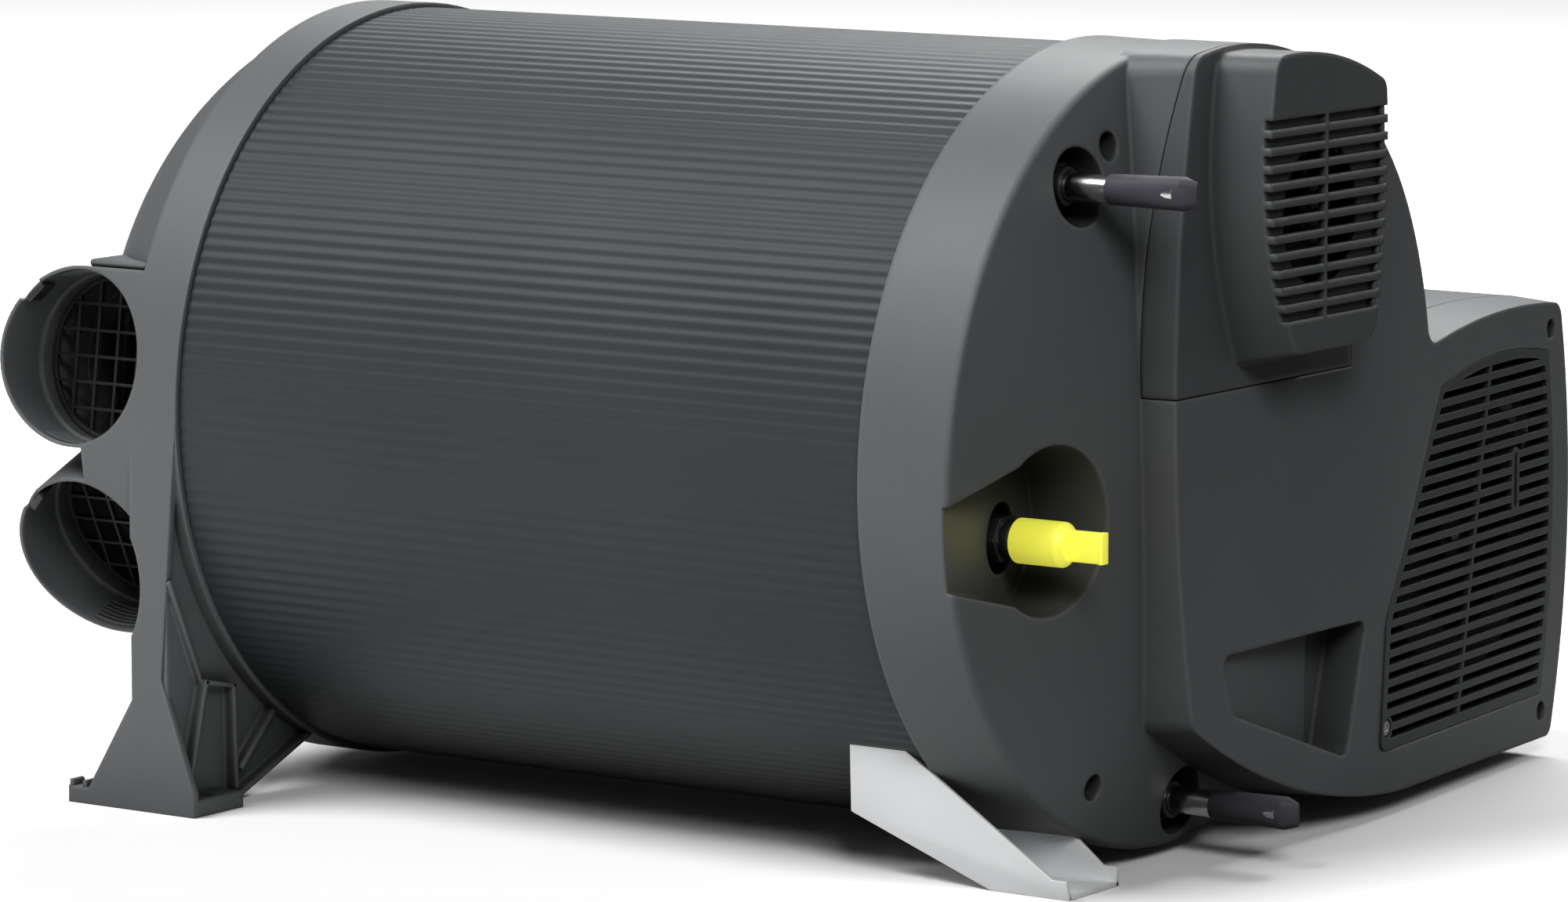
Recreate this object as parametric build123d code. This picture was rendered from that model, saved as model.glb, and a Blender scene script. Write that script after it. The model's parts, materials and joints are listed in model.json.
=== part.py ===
from build123d import *
from math import asin, cos, degrees, pi, radians, sin, sqrt, tan
import os

# A combined space and water heater for a caravan. The drum lies along X: warm air
# leaves at the low X end, all connections and fans are at the high X end.
# Sizes are in millimetres. The model is drawn about the drum axis and every piece
# is then moved so that the origin is the middle of the heater's footprint.

# General values
overrun = 5.0
seat_gap = 0.3
run_gap = 0.05
moulding_wall = 2.5
full_turn = 360.0

# Ribbed shell
shell_length = 313.0
shell_radius = 147.3
rib_height = 1.1
rib_pitch = 5.0
shell_wall = 2.8
rib_crest_share = 0.34
rib_valley_share = 0.30

# Connection end: rim and dome
rim_length = 37.6
rim_radius = 150.0
rim_draft = 0.8
rim_rounding = 2.5
dome_rise = 16.0
spigot_length = 9.0
spigot_wall = 2.2

# Fan box on the connection end, drawn as seen from the end
box_front_x = 66.5
parting_x = 33.0
box_rear_x = -20.0
box_draft = 4.0
left_wall_top_y = -31.0
left_wall_mid_y = -43.0
left_wall_mid_z = 30.0
left_wall_foot_y = -29.0
left_wall_foot_z = -99.0
left_top_radius = 9.0
left_foot_radius = 8.0
sweep_mid_y = 45.0
sweep_mid_z = -132.0
flat_start_y = 136.0
box_bottom_z = -145.1
right_foot_y = 270.5
right_foot_radius = 5.0
right_mid_y = 285.4
right_mid_z = -61.0
right_top_y = 274.5
right_top_z = 27.5
right_top_radius = 7.0
top_mid_y = 215.0
top_mid_z = 30.5
valley_z = 23.8
valley_radius = 8.0
slope_angle = 5.4
slope_start_y = 100.0
slope_end_y = 130.0
rear_shell_start_y = 84.0
tongue_wall = 1.5
tongue_reach = 4.0

# Grip pocket in the face of the fan box
grip_left_y = -10.0
grip_right_y = 97.0
grip_top_z = -74.5
grip_low_right_y = 83.0
grip_low_right_z = -126.0
grip_low_left_y = 0.0
grip_low_left_z = -98.0
grip_corner_radius = 4.5
grip_ridge_y = 72.0
grip_shallow = 3.0
grip_middle = 12.0
grip_deep = 17.0

# Recess for the gas connection
gas_recess_y = -95.0
gas_recess_z = -19.5
gas_recess_radius = 32.0
gas_recess_draft = 6.0
gas_recess_reach = 10.0
gas_mouth_top_z = -5.0
gas_mouth_low_z = -36.0
gas_floor_x = 25.0
gas_floor_slope = 11.3
gas_hole_radius = 13.2
gas_axis_z = -23.6

# Wells for the water pipes and screws in the dome
hot_well_y = -71.4
hot_well_z = 102.1
hot_well_radius = 14.5
cold_well_y = 4.1
cold_well_z = -132.7
cold_well_radius = 13.2
well_floor_x = 17.0
well_wall = 1.8
boss_wall = 1.8
upper_boss_y = -51.4
upper_boss_z = 115.2
upper_boss_radius = 5.4
lower_boss_y = -57.2
lower_boss_z = -118.6
lower_boss_radius = 5.0
boss_floor = 3.0
box_boss_radius = 4.0
box_boss_top_y = 266.0
box_boss_top_z = 19.0
box_boss_low_y = 262.0
box_boss_low_z = -135.0
screw_shank_radius = 1.9
screw_head_radius = 3.8
screw_head_height = 2.6
screw_grip = 4.0
screw_socket_radius = 1.4
screw_socket_depth = 1.4

# Electronics cover and its hood
seam_top_x = 63.0
seam_mid_x = 55.5
seam_mid_z = 104.0
seam_foot_x = 52.0
cover_foot_z = 23.5
cover_right_y = 82.8
seam_gap = 0.5
hood_front_x = 91.0
hood_front_wall = 4.2
hood_wall = 2.2
hood_top_radius = 148.0
hood_left_top_y = -14.5
hood_left_mid_y = -18.8
hood_left_mid_z = 105.0
hood_foot_y = 1.0
hood_foot_z = 37.8
hood_right_foot_y = 57.0
hood_right_mid_y = 65.3
hood_right_mid_z = 100.8
hood_right_top_y = 64.0
hood_top_left_radius = 8.0
hood_top_right_radius = 6.0
hood_foot_left_radius = 3.0
hood_foot_right_radius = 10.0
hood_side_flare = 3.0
hood_foot_flare = 6.3
hood_slots = 12
hood_slot_top_z = 122.8
hood_slot_pitch = 6.44
hood_slot_height = 3.4
hood_slot_depth = 3.0
hood_bar_y = 20.9
hood_bar_width = 1.8
fan_opening_y = 21.4
fan_opening_z = 87.6
fan_opening_radius = 26.5

# Cooling fan behind the hood
cooling_ring_wall = 3.0
cooling_depth = 15.0
cooling_ear_radius = 3.0
cooling_ear_reach = 31.0
cooling_hub_radius = 11.0
cooling_shaft_radius = 1.5
cooling_plate = 2.5
cooling_strut = 3.0
cooling_struts = 4
cooling_blades = 7
cooling_blade_wall = 1.2
cooling_blade_pitch = 38.0
cooling_tip_gap = 0.9
cooling_rotor_gap = 1.0

# Control board
board_wall = 1.6
board_x = 56.5
board_left_y = -24.0
board_right_y = 74.0
board_foot_z = 36.0
board_top_z = 114.0
board_post_radius = 3.5
board_post_inset = 6.0
socket_width = 18.0
socket_height = 8.0
socket_depth = 5.5
sockets = 3
socket_pitch = 22.0

# Intake grille
grille_wall = 2.5
grille_ledge = 2.0
grille_frame = 4.0
grille_left_foot_y = 107.5
grille_foot_z = -127.8
grille_knee_y = 111.5
grille_knee_z = -78.0
grille_knee_radius = 22.0
grille_left_top_y = 159.5
grille_left_top_z = 8.0
grille_top_mid_y = 222.5
grille_top_mid_z = 15.0
grille_right_top_y = 264.0
grille_right_top_z = 10.6
grille_right_mid_y = 270.9
grille_right_mid_z = -51.0
grille_right_foot_y = 261.0
grille_corner_radius = 4.0
grille_slots = 24
grille_slot_pitch = 5.7
grille_slot_height = 2.9
grille_bar_width = 1.8
grille_bar_top_y = 208.2
grille_bar_foot_y = 179.4
grille_key_y = 233.0
grille_key_top_z = -27.0
grille_key_foot_z = -48.7
grille_key_half_width = 1.4
grille_key_frame = 2.2
grille_screw_y = 113.5
grille_screw_z = -119.0
grille_screw_seat = 4.6
grille_screw_shank = 1.0

# Circulation blower
blower_y = 205.0
blower_z = -57.0
blower_wheel_radius = 50.0
blower_inner_radius = 38.0
blower_hub_radius = 9.0
blower_wheel_x0 = 28.0
blower_wheel_depth = 16.0
blower_disc_wall = 1.5
blower_blades = 32
blower_blade_wall = 0.9
blower_blade_lean = 28.0
blower_shaft_radius = 3.0
scroll_x0 = 24.0
scroll_x1 = 47.0
scroll_wall = 1.6
scroll_clearance = 4.0
scroll_growth = 18.0
scroll_mouth_y = 139.0
blower_motor_radius = 17.0
blower_motor_length = 26.0
motor_rounding = 2.0
scroll_post_radius = 4.0
scroll_post_turn = 25.0
scroll_posts = 3

# Air end housing
ring_radius = 149.2
air_wall = 2.5
shoulder_start_x = -336.0
shoulder_start_radius = 146.0
shoulder_x1 = -355.0
shoulder_radius1 = 137.0
shoulder_x2 = -375.0
shoulder_radius2 = 119.0
shoulder_x3 = -397.0
shoulder_radius3 = 80.0
air_end_x = -400.5
air_spigot_length = 12.0
outlet_x = -366.5
outlet_radius = 35.0
outlet_bore = 32.5
outlet_root_radius = 84.0
outlet_upper_rise = 7.7
outlet_lower_fall = 24.2
outlet_step = 1.4
outlet_step_depth = 22.0
web_edge_x = -361.0
grid_wall = 2.0
grid_rim = 1.6
grid_bars = 6
grid_bar = 1.2
grid_depth = 30.0
latch_width = 11.0
latch_depth = 4.5
latch_turn = 135.0

# Feet, moulded with the air end housing
foot_wall = 3.0
foot_back_y = -119.5
floor_z = -153.9
foot_base_height = 6.5
foot_base_x0 = -368.5
foot_base_x1 = -306.0
foot_right_top_x = -313.2
foot_knee_x = -321.6
foot_knee_z = -101.8
foot_right_toe_z = -144.8
foot_left_x = -336.2
foot_left_knee_z = -110.8
foot_left_toe_x = -358.5
foot_left_toe_z = -147.4
foot_slot_width = 6.5
foot_slot_length = 12.0
foot_slot_inset = 9.0
foot_rib_wall = 2.2
foot_rib_x = -331.0
foot_rib_top_z = -104.5

# Inner drum: insulation, tank, heat exchanger, carrier disc
sleeve_inner_gap = 0.3
sleeve_x0 = -298.0
disc_x = -12.0
disc_wall = 3.0
disc_slots = 6
disc_slot_inner = 58.0
disc_slot_outer = 74.0
disc_slot_angle = 42.0
tank_x0 = -270.0
tank_x1 = -25.0
tank_outer_radius = 131.2
tank_inner_radius = 76.0
tank_wall = 1.2
tank_rounding = 6.0
tank_port_radius = 4.0
exchanger_x0 = -286.0
exchanger_radius = 52.0
exchanger_wall = 3.0
exchanger_fins = 36
exchanger_fin_reach = 18.0
exchanger_fin_wall = 1.8
exchanger_flange_radius = 55.0
exchanger_flange_wall = 3.0
exchanger_rounding = 8.0
burner_flange_wall = 4.0
flame_tube_radius = 26.0
flame_tube_wall = 1.5
flame_tube_length = 150.0
burner_holes = 12
burner_hole_radius = 4.0
burner_hole_rows = 3
burner_hole_pitch = 30.0
electrode_y = 30.0
electrode_z = 30.0
electrode_radius = 3.5
electrode_length = 70.0
electrode_pin_radius = 1.0
electrode_pin_length = 12.0
sensor_y = -112.0
sensor_z = 6.0
sensor_radius = 4.0
sensor_gap = 1.0

# Combustion fan
burn_fan_y = -18.0
burn_fan_z = 16.0
burn_fan_radius = 38.0
burn_fan_wall = 2.0
burn_fan_depth = 26.0
burn_wheel_radius = 31.0
burn_wheel_depth = 14.0
burn_wheel_gap = 3.0
burn_hub_radius = 6.0
burn_blades = 14
burn_blade_wall = 1.0
burn_shaft_radius = 2.0
burn_motor_radius = 16.0
burn_motor_length = 17.0
burn_outlet_radius = 11.0
window_share = 0.7

# Exhaust, combustion air and flue
flue_x = 14.0
exhaust_z = -24.0
exhaust_port_y = 29.0
exhaust_radius = 10.0
exhaust_wall = 1.0
exhaust_bend = 15.0
air_duct_z = 1.0
air_duct_radius = 9.0
air_duct_wall = 1.0
flue_tip_y = 300.8
flue_collar_radius = 16.5
flue_collar_wall = 1.8
flue_root_radius = 18.5
flue_root_y = 289.0
flue_box_y0 = 262.0
flue_box_y1 = 277.0
flue_box_wall = 2.0
flue_box_foot_z = -43.0
flue_box_top_z = 12.0
flue_box_x0 = -5.0
flue_box_x1 = 27.0
passage_x0 = 3.0
passage_foot_z = -42.0
passage_top_z = 17.0
passage_y0 = 100.0

# Water pipes, gas line and their transport caps
pipe_radius = 5.0
pipe_wall = 1.0
pipe_tip_x = 84.0
hot_port_share = 0.9
cold_port_share = 0.845
pipe_bend_radius = 7.0
pipe_bend_start_x = 13.0
pipe_bend_end_x = -7.0
cap_start_x = 56.0
cap_tip_x = 92.0
cap_start_radius = 5.9
cap_tip_radius = 6.4
cap_cone_length = 3.0
cap_cone_radius = 3.4
cap_flat_half = 5.3
cap_flat_length = 16.0
cap_bore_end_x = 86.0
gas_tube_radius = 4.0
gas_tube_bore = 3.0
gas_tube_tip_x = 49.0
clip_x0 = 13.5
clip_x1 = 27.0
clip_radius = 9.5
clip_flats = 6
gas_cap_x0 = 27.3
gas_cap_body_x1 = 53.5
gas_cap_tip_x = 69.4
gas_cap_radius = 8.25
gas_cap_bore_end_x = 50.5
gas_tab_half_height = 5.7
gas_tab_wall = 2.4
gas_tab_end = 3.0
gas_tab_end_wall = 4.4
valve_half_width = 11.0
valve_half_height = 14.0
valve_depth = 20.0
valve_coil_radius = 8.0
valve_coil_length = 18.0
feed_tube_radius = 2.5
feed_tube_wall = 0.6

# Mounting bracket under the drum
bracket_y0 = -89.7
bracket_y1 = -56.5
bracket_x0 = -43.3
bracket_x1 = 52.2
bracket_wall = 2.0
bracket_flat_x = 18.6
bracket_low_z = -131.4
bracket_lip_x = 46.0
bracket_lip_height = 7.4
bracket_shoulder_x = -1.0
bracket_gap = 0.4
bracket_hole_radius = 2.6
bracket_hole_x = 35.0


def at_x(x):
    return Plane.YZ.offset(x)


def slab(sketch, x0, x1):
    return extrude(at_x(x0) * sketch, x1 - x0)


def rod(x0, x1, radius, y=0, z=0):
    return extrude(at_x(x0) * Pos(y, z) * Circle(radius), x1 - x0)


def tube(x0, x1, outer, inner, y=0, z=0):
    ring = Circle(outer) - Circle(inner)
    return extrude(at_x(x0) * Pos(y, z) * ring, x1 - x0)


def block(x0, x1, y0, y1, z0, z1):
    size = Box(x1 - x0, y1 - y0, z1 - z0)
    return Pos((x0 + x1) / 2, (y0 + y1) / 2, (z0 + z1) / 2) * size


def turned(points):
    # Solid of revolution about the drum axis, from X and radius pairs.
    return revolve(Plane.XZ * make_face(Polyline(*points, close=True)), Axis.X)


def near(shape, y, z):
    # The corner of a flat outline that lies nearest to a place.
    return shape.vertices().sort_by_distance((y, z, 0))[0]


def rounded(sketch, corners):
    for y, z, radius in corners:
        sketch = fillet(near(sketch, y, z), radius)
    return sketch


def circle_height(radius, y):
    return sqrt(radius**2 - y**2)


def on_circle(radius, angle):
    return (radius * cos(radians(angle)), radius * sin(radians(angle)))


def ribbed_shell():
    count = round(2 * pi * shell_radius / rib_pitch)
    step = full_turn / count
    valley = shell_radius - rib_height
    points = []
    for i in range(count):
        start = i * step
        flank = (1 - rib_crest_share - rib_valley_share) / 2 * step
        crest_end = start + rib_crest_share * step
        points.append(on_circle(shell_radius, start))
        points.append(on_circle(shell_radius, crest_end))
        points.append(on_circle(valley, crest_end + flank))
        points.append(on_circle(valley, start + step - flank))
    ring = make_face(Polyline(*points, close=True)) - Circle(shell_radius - shell_wall)
    return slab(ring, -shell_length, 0)


shell_bore = shell_radius - shell_wall
inner_fit = shell_bore - seat_gap


def box_outline(inset=0, flare=0):
    # The fan box seen from the end, or the outline of its room at a wall's depth.
    # Only the free walls flare: the edge along the drum stays on the rim's radius.
    radius = rim_radius - inset
    grow = inset - flare
    left_top_y = left_wall_top_y + grow
    left_top_z = circle_height(radius, left_top_y)
    valley_y = circle_height(radius, valley_z - grow)
    crown = on_circle(radius, (asin_degrees(valley_z / radius) + asin_degrees(left_top_z / radius)) / 2)
    wall_top = (left_top_y, left_top_z)
    wall_foot = (left_wall_foot_y + grow, left_wall_foot_z + grow)
    flat_start = (flat_start_y, box_bottom_z + grow)
    flat_end = (right_foot_y - grow, box_bottom_z + grow)
    right_top = (right_top_y - grow, right_top_z - grow)
    valley = (valley_y, valley_z - grow)
    edges = [
        ThreePointArc(wall_top, (left_wall_mid_y + grow, left_wall_mid_z), wall_foot),
        ThreePointArc(wall_foot, (sweep_mid_y + grow / 4, sweep_mid_z + grow), flat_start),
        Line(flat_start, flat_end),
        ThreePointArc(flat_end, (right_mid_y - grow, right_mid_z), right_top),
        ThreePointArc(right_top, (top_mid_y, top_mid_z - grow), valley),
        ThreePointArc(valley, crown, wall_top),
    ]
    corners = [
        (*wall_foot, left_foot_radius - grow),
        (*flat_end, right_foot_radius - grow),
        (*right_top, right_top_radius - grow),
        (*valley, valley_radius + grow),
        (*wall_top, left_top_radius - grow),
    ]
    return rounded(make_face(edges), [(y, z, max(size, seat_gap)) for y, z, size in corners])


def asin_degrees(share):
    return degrees(asin(share))


def slope_x(y, depth=0):
    # X of the sloping part of the face, at a depth below the surface.
    turn = radians(slope_angle)
    run = slope_end_y - slope_start_y
    bend = run / sin(turn)
    end_x = box_front_x - depth - bend * (1 - cos(turn))
    return end_x - (y - slope_end_y) * tan(turn)


def slope_cutter(depth):
    # Everything in front of the face, which bends back gently towards high Y.
    turn = radians(slope_angle)
    run = slope_end_y - slope_start_y
    bend = run / sin(turn)
    face_x = box_front_x - depth
    middle = (face_x - bend * (1 - cos(turn / 2)), slope_start_y + bend * sin(turn / 2))
    far_y = right_mid_y + overrun * 2
    far_x = slope_x(far_y, depth)
    ahead = hood_front_x + overrun
    start = (face_x, slope_start_y)
    end = (slope_x(slope_end_y, depth), slope_end_y)
    edges = [
        ThreePointArc(start, middle, end),
        Polyline(end, (far_x, far_y), (ahead, far_y), (ahead, slope_start_y), start),
    ]
    height = rim_radius * 2 + overrun
    profile = make_face(Curve() + edges)
    return extrude(Pos(0, 0, -height / 2) * profile, height)


def box_flare():
    # How far the drafted walls have spread at the parting plane.
    return (box_front_x - parting_x) * tan(radians(box_draft))


def box_body(inset=0):
    ends = [at_x(box_front_x - inset) * box_outline(inset), at_x(parting_x) * box_outline(inset, box_flare())]
    return loft(ends, ruled=True) - slope_cutter(inset)


def dome_body(inset=0):
    # Rim and dome as one solid: the dome is a shallow cap of a large ball.
    edge_radius = rim_radius - rim_draft
    ball_radius = (edge_radius**2 + dome_rise**2) / (dome_rise * 2)
    peak_x = rim_length + dome_rise
    start_x = moulding_wall if inset else 0
    radius = rim_radius - inset
    drum = turned([(start_x, 0), (start_x, radius), (rim_length, edge_radius - inset),
                   (peak_x, edge_radius - inset), (peak_x, 0)])
    body = drum & Pos(peak_x - ball_radius, 0, 0) * Rot(0, 0, 180) * Sphere(ball_radius - inset)
    if inset:
        return body
    return fillet(body.edges().sort_by_distance((rim_length, 0, edge_radius))[0], rim_rounding)


def gas_outline(grow=0):
    radius = gas_recess_radius + grow
    far_y = -rim_radius - overrun
    top = (far_y, gas_mouth_top_z + grow)
    low = (far_y, gas_mouth_low_z - grow)
    lean = 35.0
    upper = (gas_recess_y - radius * sin(radians(lean)), gas_recess_z + radius * cos(radians(lean)))
    lower = (gas_recess_y - radius * sin(radians(lean)), gas_recess_z - radius * cos(radians(lean)))
    wedge = make_face(Polyline(top, upper, lower, low, close=True))
    return wedge + Pos(gas_recess_y, gas_recess_z) * Circle(radius)


def gas_pocket(grow=0):
    # The recess as a solid: tapered walls and a floor that slopes down from the rim.
    front = rim_length + dome_rise
    body = extrude(at_x(front) * gas_outline(grow), gas_recess_reach - front, taper=gas_recess_draft)
    floor = block(-overrun, front * 2, -front * 2, front * 2, -front * 2, front * 2)
    floor = Pos(gas_floor_x - grow + overrun, gas_recess_y, gas_axis_z) * Rot(0, 0, gas_floor_slope) * floor
    return body & floor


def grip_outline(grow=0):
    points = [
        (grip_left_y, grip_top_z),
        (grip_right_y, grip_top_z),
        (grip_low_right_y, grip_low_right_z),
        (grip_low_left_y, grip_low_left_z),
    ]
    outline = make_face(Polyline(*points, close=True))
    outline = rounded(outline, [(y, z, grip_corner_radius) for y, z in points])
    return offset(outline, grow) if grow else outline


def grip_pocket(grow=0):
    # A shallow sloping floor, then a deep strip for the fingers behind a ridge.
    ahead = box_front_x + overrun
    shallow_x = box_front_x - grip_shallow - grow
    middle_x = box_front_x - grip_middle - grow
    ridge_y = grip_ridge_y + grow
    left_y = grip_left_y - grow
    slope = [(shallow_x, left_y), (ahead, left_y), (ahead, ridge_y), (middle_x, ridge_y)]
    height = rim_radius
    ramp = extrude(Pos(0, 0, -height) * make_face(Polyline(*slope, close=True)), height)
    deep_x = box_front_x - grip_deep - grow
    strip = block(deep_x, ahead, grip_ridge_y - grow, grip_right_y + overrun, -height, 0)
    return slab(grip_outline(grow), deep_x - overrun, ahead) & (ramp + strip)


def grille_plane(depth=0):
    turn = radians(slope_angle)
    origin = (slope_x(slope_end_y, depth), slope_end_y, 0)
    return Plane(origin=origin, x_dir=(-sin(turn), cos(turn), 0), z_dir=(cos(turn), sin(turn), 0))


def along(y):
    # Distance along the sloping face of a place given by its Y.
    return (y - slope_end_y) / cos(radians(slope_angle))


def grille_outline():
    left_foot = (along(grille_left_foot_y), grille_foot_z)
    knee = (along(grille_knee_y), grille_knee_z)
    left_top = (along(grille_left_top_y), grille_left_top_z)
    right_top = (along(grille_right_top_y), grille_right_top_z)
    right_foot = (along(grille_right_foot_y), grille_foot_z)
    edges = [
        Polyline(right_foot, left_foot, knee, left_top),
        ThreePointArc(left_top, (along(grille_top_mid_y), grille_top_mid_z), right_top),
        ThreePointArc(right_top, (along(grille_right_mid_y), grille_right_mid_z), right_foot),
    ]
    outline = make_face(Curve() + edges)
    return rounded(outline, [
        (*knee, grille_knee_radius),
        (*left_foot, grille_corner_radius),
        (*left_top, grille_corner_radius),
        (*right_top, grille_corner_radius),
        (*right_foot, grille_corner_radius),
    ])


def grille_bar_outline():
    half = grille_bar_width / 2
    top_z = grille_top_mid_z
    top = along(grille_bar_top_y)
    foot = along(grille_bar_foot_y)
    points = [(top - half, top_z), (top + half, top_z), (foot + half, grille_foot_z), (foot - half, grille_foot_z)]
    return make_face(Polyline(*points, close=True))


def grille_key_outline(grow=0):
    height = grille_key_top_z - grille_key_foot_z
    middle = (grille_key_top_z + grille_key_foot_z) / 2
    slot = RectangleRounded(grille_key_half_width * 2 + grow * 2, height + grow * 2, grille_key_half_width * 0.9 + grow)
    return Pos(along(grille_key_y), middle) * slot


def intake_grille():
    outline = offset(grille_outline(), -seat_gap)
    inner = offset(grille_outline(), -grille_frame)
    slots = Sketch()
    width = grille_right_mid_y - grille_left_foot_y
    middle_y = along((grille_right_mid_y + grille_left_foot_y) / 2)
    middle_z = (grille_top_mid_z + grille_foot_z) / 2
    for i in range(grille_slots):
        z = middle_z + (i - (grille_slots - 1) / 2) * grille_slot_pitch
        slots += Pos(middle_y, z) * Rectangle(width, grille_slot_height)
    screw_seat = Pos(along(grille_screw_y), grille_screw_z) * Circle(grille_screw_seat)
    slots = (slots & inner) - grille_bar_outline() - grille_key_outline(grille_key_frame) - screw_seat
    plate = outline - slots - grille_key_outline()
    plate = extrude(grille_plane(grille_wall) * plate, grille_wall)
    hole = Pos(along(grille_screw_y), grille_screw_z) * Circle(grille_screw_shank + seat_gap)
    head = Pos(along(grille_screw_y), grille_screw_z) * Circle(screw_head_radius - seat_gap)
    plate -= extrude(grille_plane(grille_wall + overrun) * hole, overrun * 2)
    return plate - extrude(grille_plane(grille_wall / 2) * head, overrun)


def grille_screw():
    place = Pos(along(grille_screw_y), grille_screw_z)
    head = extrude(grille_plane(grille_wall / 2) * place * Circle(screw_head_radius - seat_gap * 2), grille_wall / 2)
    shank_length = grille_wall + grille_ledge + screw_grip
    shank = extrude(grille_plane(shank_length) * place * Circle(grille_screw_shank), shank_length - grille_wall / 2)
    socket = place * RegularPolygon(screw_socket_radius, 6)
    return head + shank - extrude(grille_plane(screw_socket_depth / 2) * socket, overrun)


def grille_opening():
    hole = extrude(grille_plane(grille_wall + seat_gap) * grille_outline(), overrun + grille_wall)
    inner = offset(grille_outline(), -grille_frame)
    depth = grille_wall + grille_ledge + overrun
    return hole + extrude(grille_plane(depth) * (inner - screw_seat_ring()), depth)


def screw_seat_ring():
    # Where the grille's screw sits: an island in the opening, with the hole in it.
    place = Pos(along(grille_screw_y), grille_screw_z)
    return place * (Circle(grille_screw_seat) - Circle(grille_screw_shank + seat_gap))


def grille_frame_ledge():
    # The ledge inside the box face that the grille is pressed against.
    ring = offset(grille_outline(), grille_ledge) - offset(grille_outline(), -grille_frame)
    hole = Pos(along(grille_screw_y), grille_screw_z) * Circle(grille_screw_shank + seat_gap)
    depth = grille_wall + seat_gap + grille_ledge
    return extrude(grille_plane(depth) * (ring + screw_seat_ring() - hole), grille_ledge)


def seam_profile(shift=0):
    # Where the cover begins, as X against Z, for everything in front of the seam.
    top_z = circle_height(rim_radius, left_wall_top_y)
    foot = (seam_foot_x + shift, cover_foot_z + shift_foot(shift))
    middle = (seam_mid_x + shift, seam_mid_z)
    top = (seam_top_x + shift, top_z)
    ahead = hood_front_x + overrun
    above = rim_radius + overrun
    slope = (top[0] - middle[0]) / (top_z - seam_mid_z)
    peak = (top[0] + slope * (above - top_z), above)
    edges = [
        ThreePointArc(foot, middle, top),
        Polyline(top, peak, (ahead, above), (ahead, foot[1]), foot),
    ]
    return make_face(Curve() + edges)


def shift_foot(shift):
    return seam_gap if shift else 0


def cover_zone(shift=0):
    right_y = cover_right_y - (seam_gap if shift else 0)
    left_y = left_wall_mid_y * 2
    profile = Plane.XZ * seam_profile(shift)
    return extrude(Pos(0, left_y, 0) * profile, left_y - right_y)


def hood_outline(flare=0, inset=0):
    # The hood seen from the end: flare 0 is its front face, flare 1 its foot.
    side = hood_side_flare * flare - inset
    foot_z = hood_foot_z - hood_foot_flare * flare + inset
    radius = hood_top_radius - inset
    left_top_y = hood_left_top_y - side
    right_top_y = hood_right_top_y + side
    left_top = (left_top_y, circle_height(radius, left_top_y))
    right_top = (right_top_y, circle_height(radius, right_top_y))
    left_foot = (hood_foot_y - side, foot_z)
    right_foot = (hood_right_foot_y + side, foot_z)
    middle_y = (left_top_y + right_top_y) / 2
    edges = [
        ThreePointArc(left_top, (hood_left_mid_y - side, hood_left_mid_z), left_foot),
        Line(left_foot, right_foot),
        ThreePointArc(right_foot, (hood_right_mid_y + side, hood_right_mid_z), right_top),
        ThreePointArc(right_top, (middle_y, circle_height(radius, middle_y)), left_top),
    ]
    corners = [
        (*left_top, hood_top_left_radius - inset),
        (*right_top, hood_top_right_radius - inset),
        (*left_foot, hood_foot_left_radius - inset),
        (*right_foot, hood_foot_right_radius - inset),
    ]
    return rounded(make_face(edges), [(y, z, max(size, seat_gap)) for y, z, size in corners])


def hood_body(inset=0, front=0):
    foot_x = box_front_x - moulding_wall * 2
    ends = [at_x(hood_front_x - front) * hood_outline(0, inset), at_x(foot_x) * hood_outline(1, inset)]
    return loft(ends, ruled=True)


def hood_slots_cutter():
    slots = Part()
    front = hood_front_x - hood_slot_depth
    for i in range(hood_slots):
        z = hood_slot_top_z - i * hood_slot_pitch
        half = hood_slot_height / 2
        for side in (-1, 1):
            near_y = hood_bar_y + side * hood_bar_width / 2
            far_y = hood_bar_y + side * rim_radius / 2
            y0, y1 = sorted((near_y, far_y))
            slots += block(front, hood_front_x + overrun, y0, y1, z - half, z + half)
    return slots


def electronics_cover():
    outer = box_body() + hood_body()
    cavity = box_body(moulding_wall) + hood_body(hood_wall, hood_front_wall)
    shell = (outer - cavity) & cover_zone(seam_gap)
    shell -= dome_body()
    shell -= hood_slots_cutter()
    opening = rod(hood_front_x - hood_front_wall - overrun, hood_front_x - hood_slot_depth,
                  fan_opening_radius, fan_opening_y, fan_opening_z)
    return main_piece(shell - opening)


def main_piece(shape):
    # The largest solid, where a cut leaves a crumb behind.
    return shape.solids().sort_by(SortBy.VOLUME)[-1]


def wells():
    return [
        (hot_well_y, hot_well_z, hot_well_radius, well_floor_x, pipe_radius),
        (cold_well_y, cold_well_z, cold_well_radius, well_floor_x, pipe_radius),
        (upper_boss_y, upper_boss_z, upper_boss_radius, disc_top + boss_floor, screw_shank_radius),
        (lower_boss_y, lower_boss_z, lower_boss_radius, disc_top + boss_floor, screw_shank_radius),
    ]


disc_top = disc_x + disc_wall


def electronics_tongue():
    # Inner lip of the housing that the cover slips over.
    lip = moulding_wall + seat_gap
    ring = box_body(lip) - box_body(lip + tongue_wall)
    seam = cover_zone() - cover_zone_deeper(tongue_reach)
    behind = cover_zone_deeper(-tongue_reach) - cover_zone()
    return (ring & (seam + behind)) - dome_body(moulding_wall)


def cover_zone_deeper(reach):
    return Pos(reach, 0, 0) * cover_zone()


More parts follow.
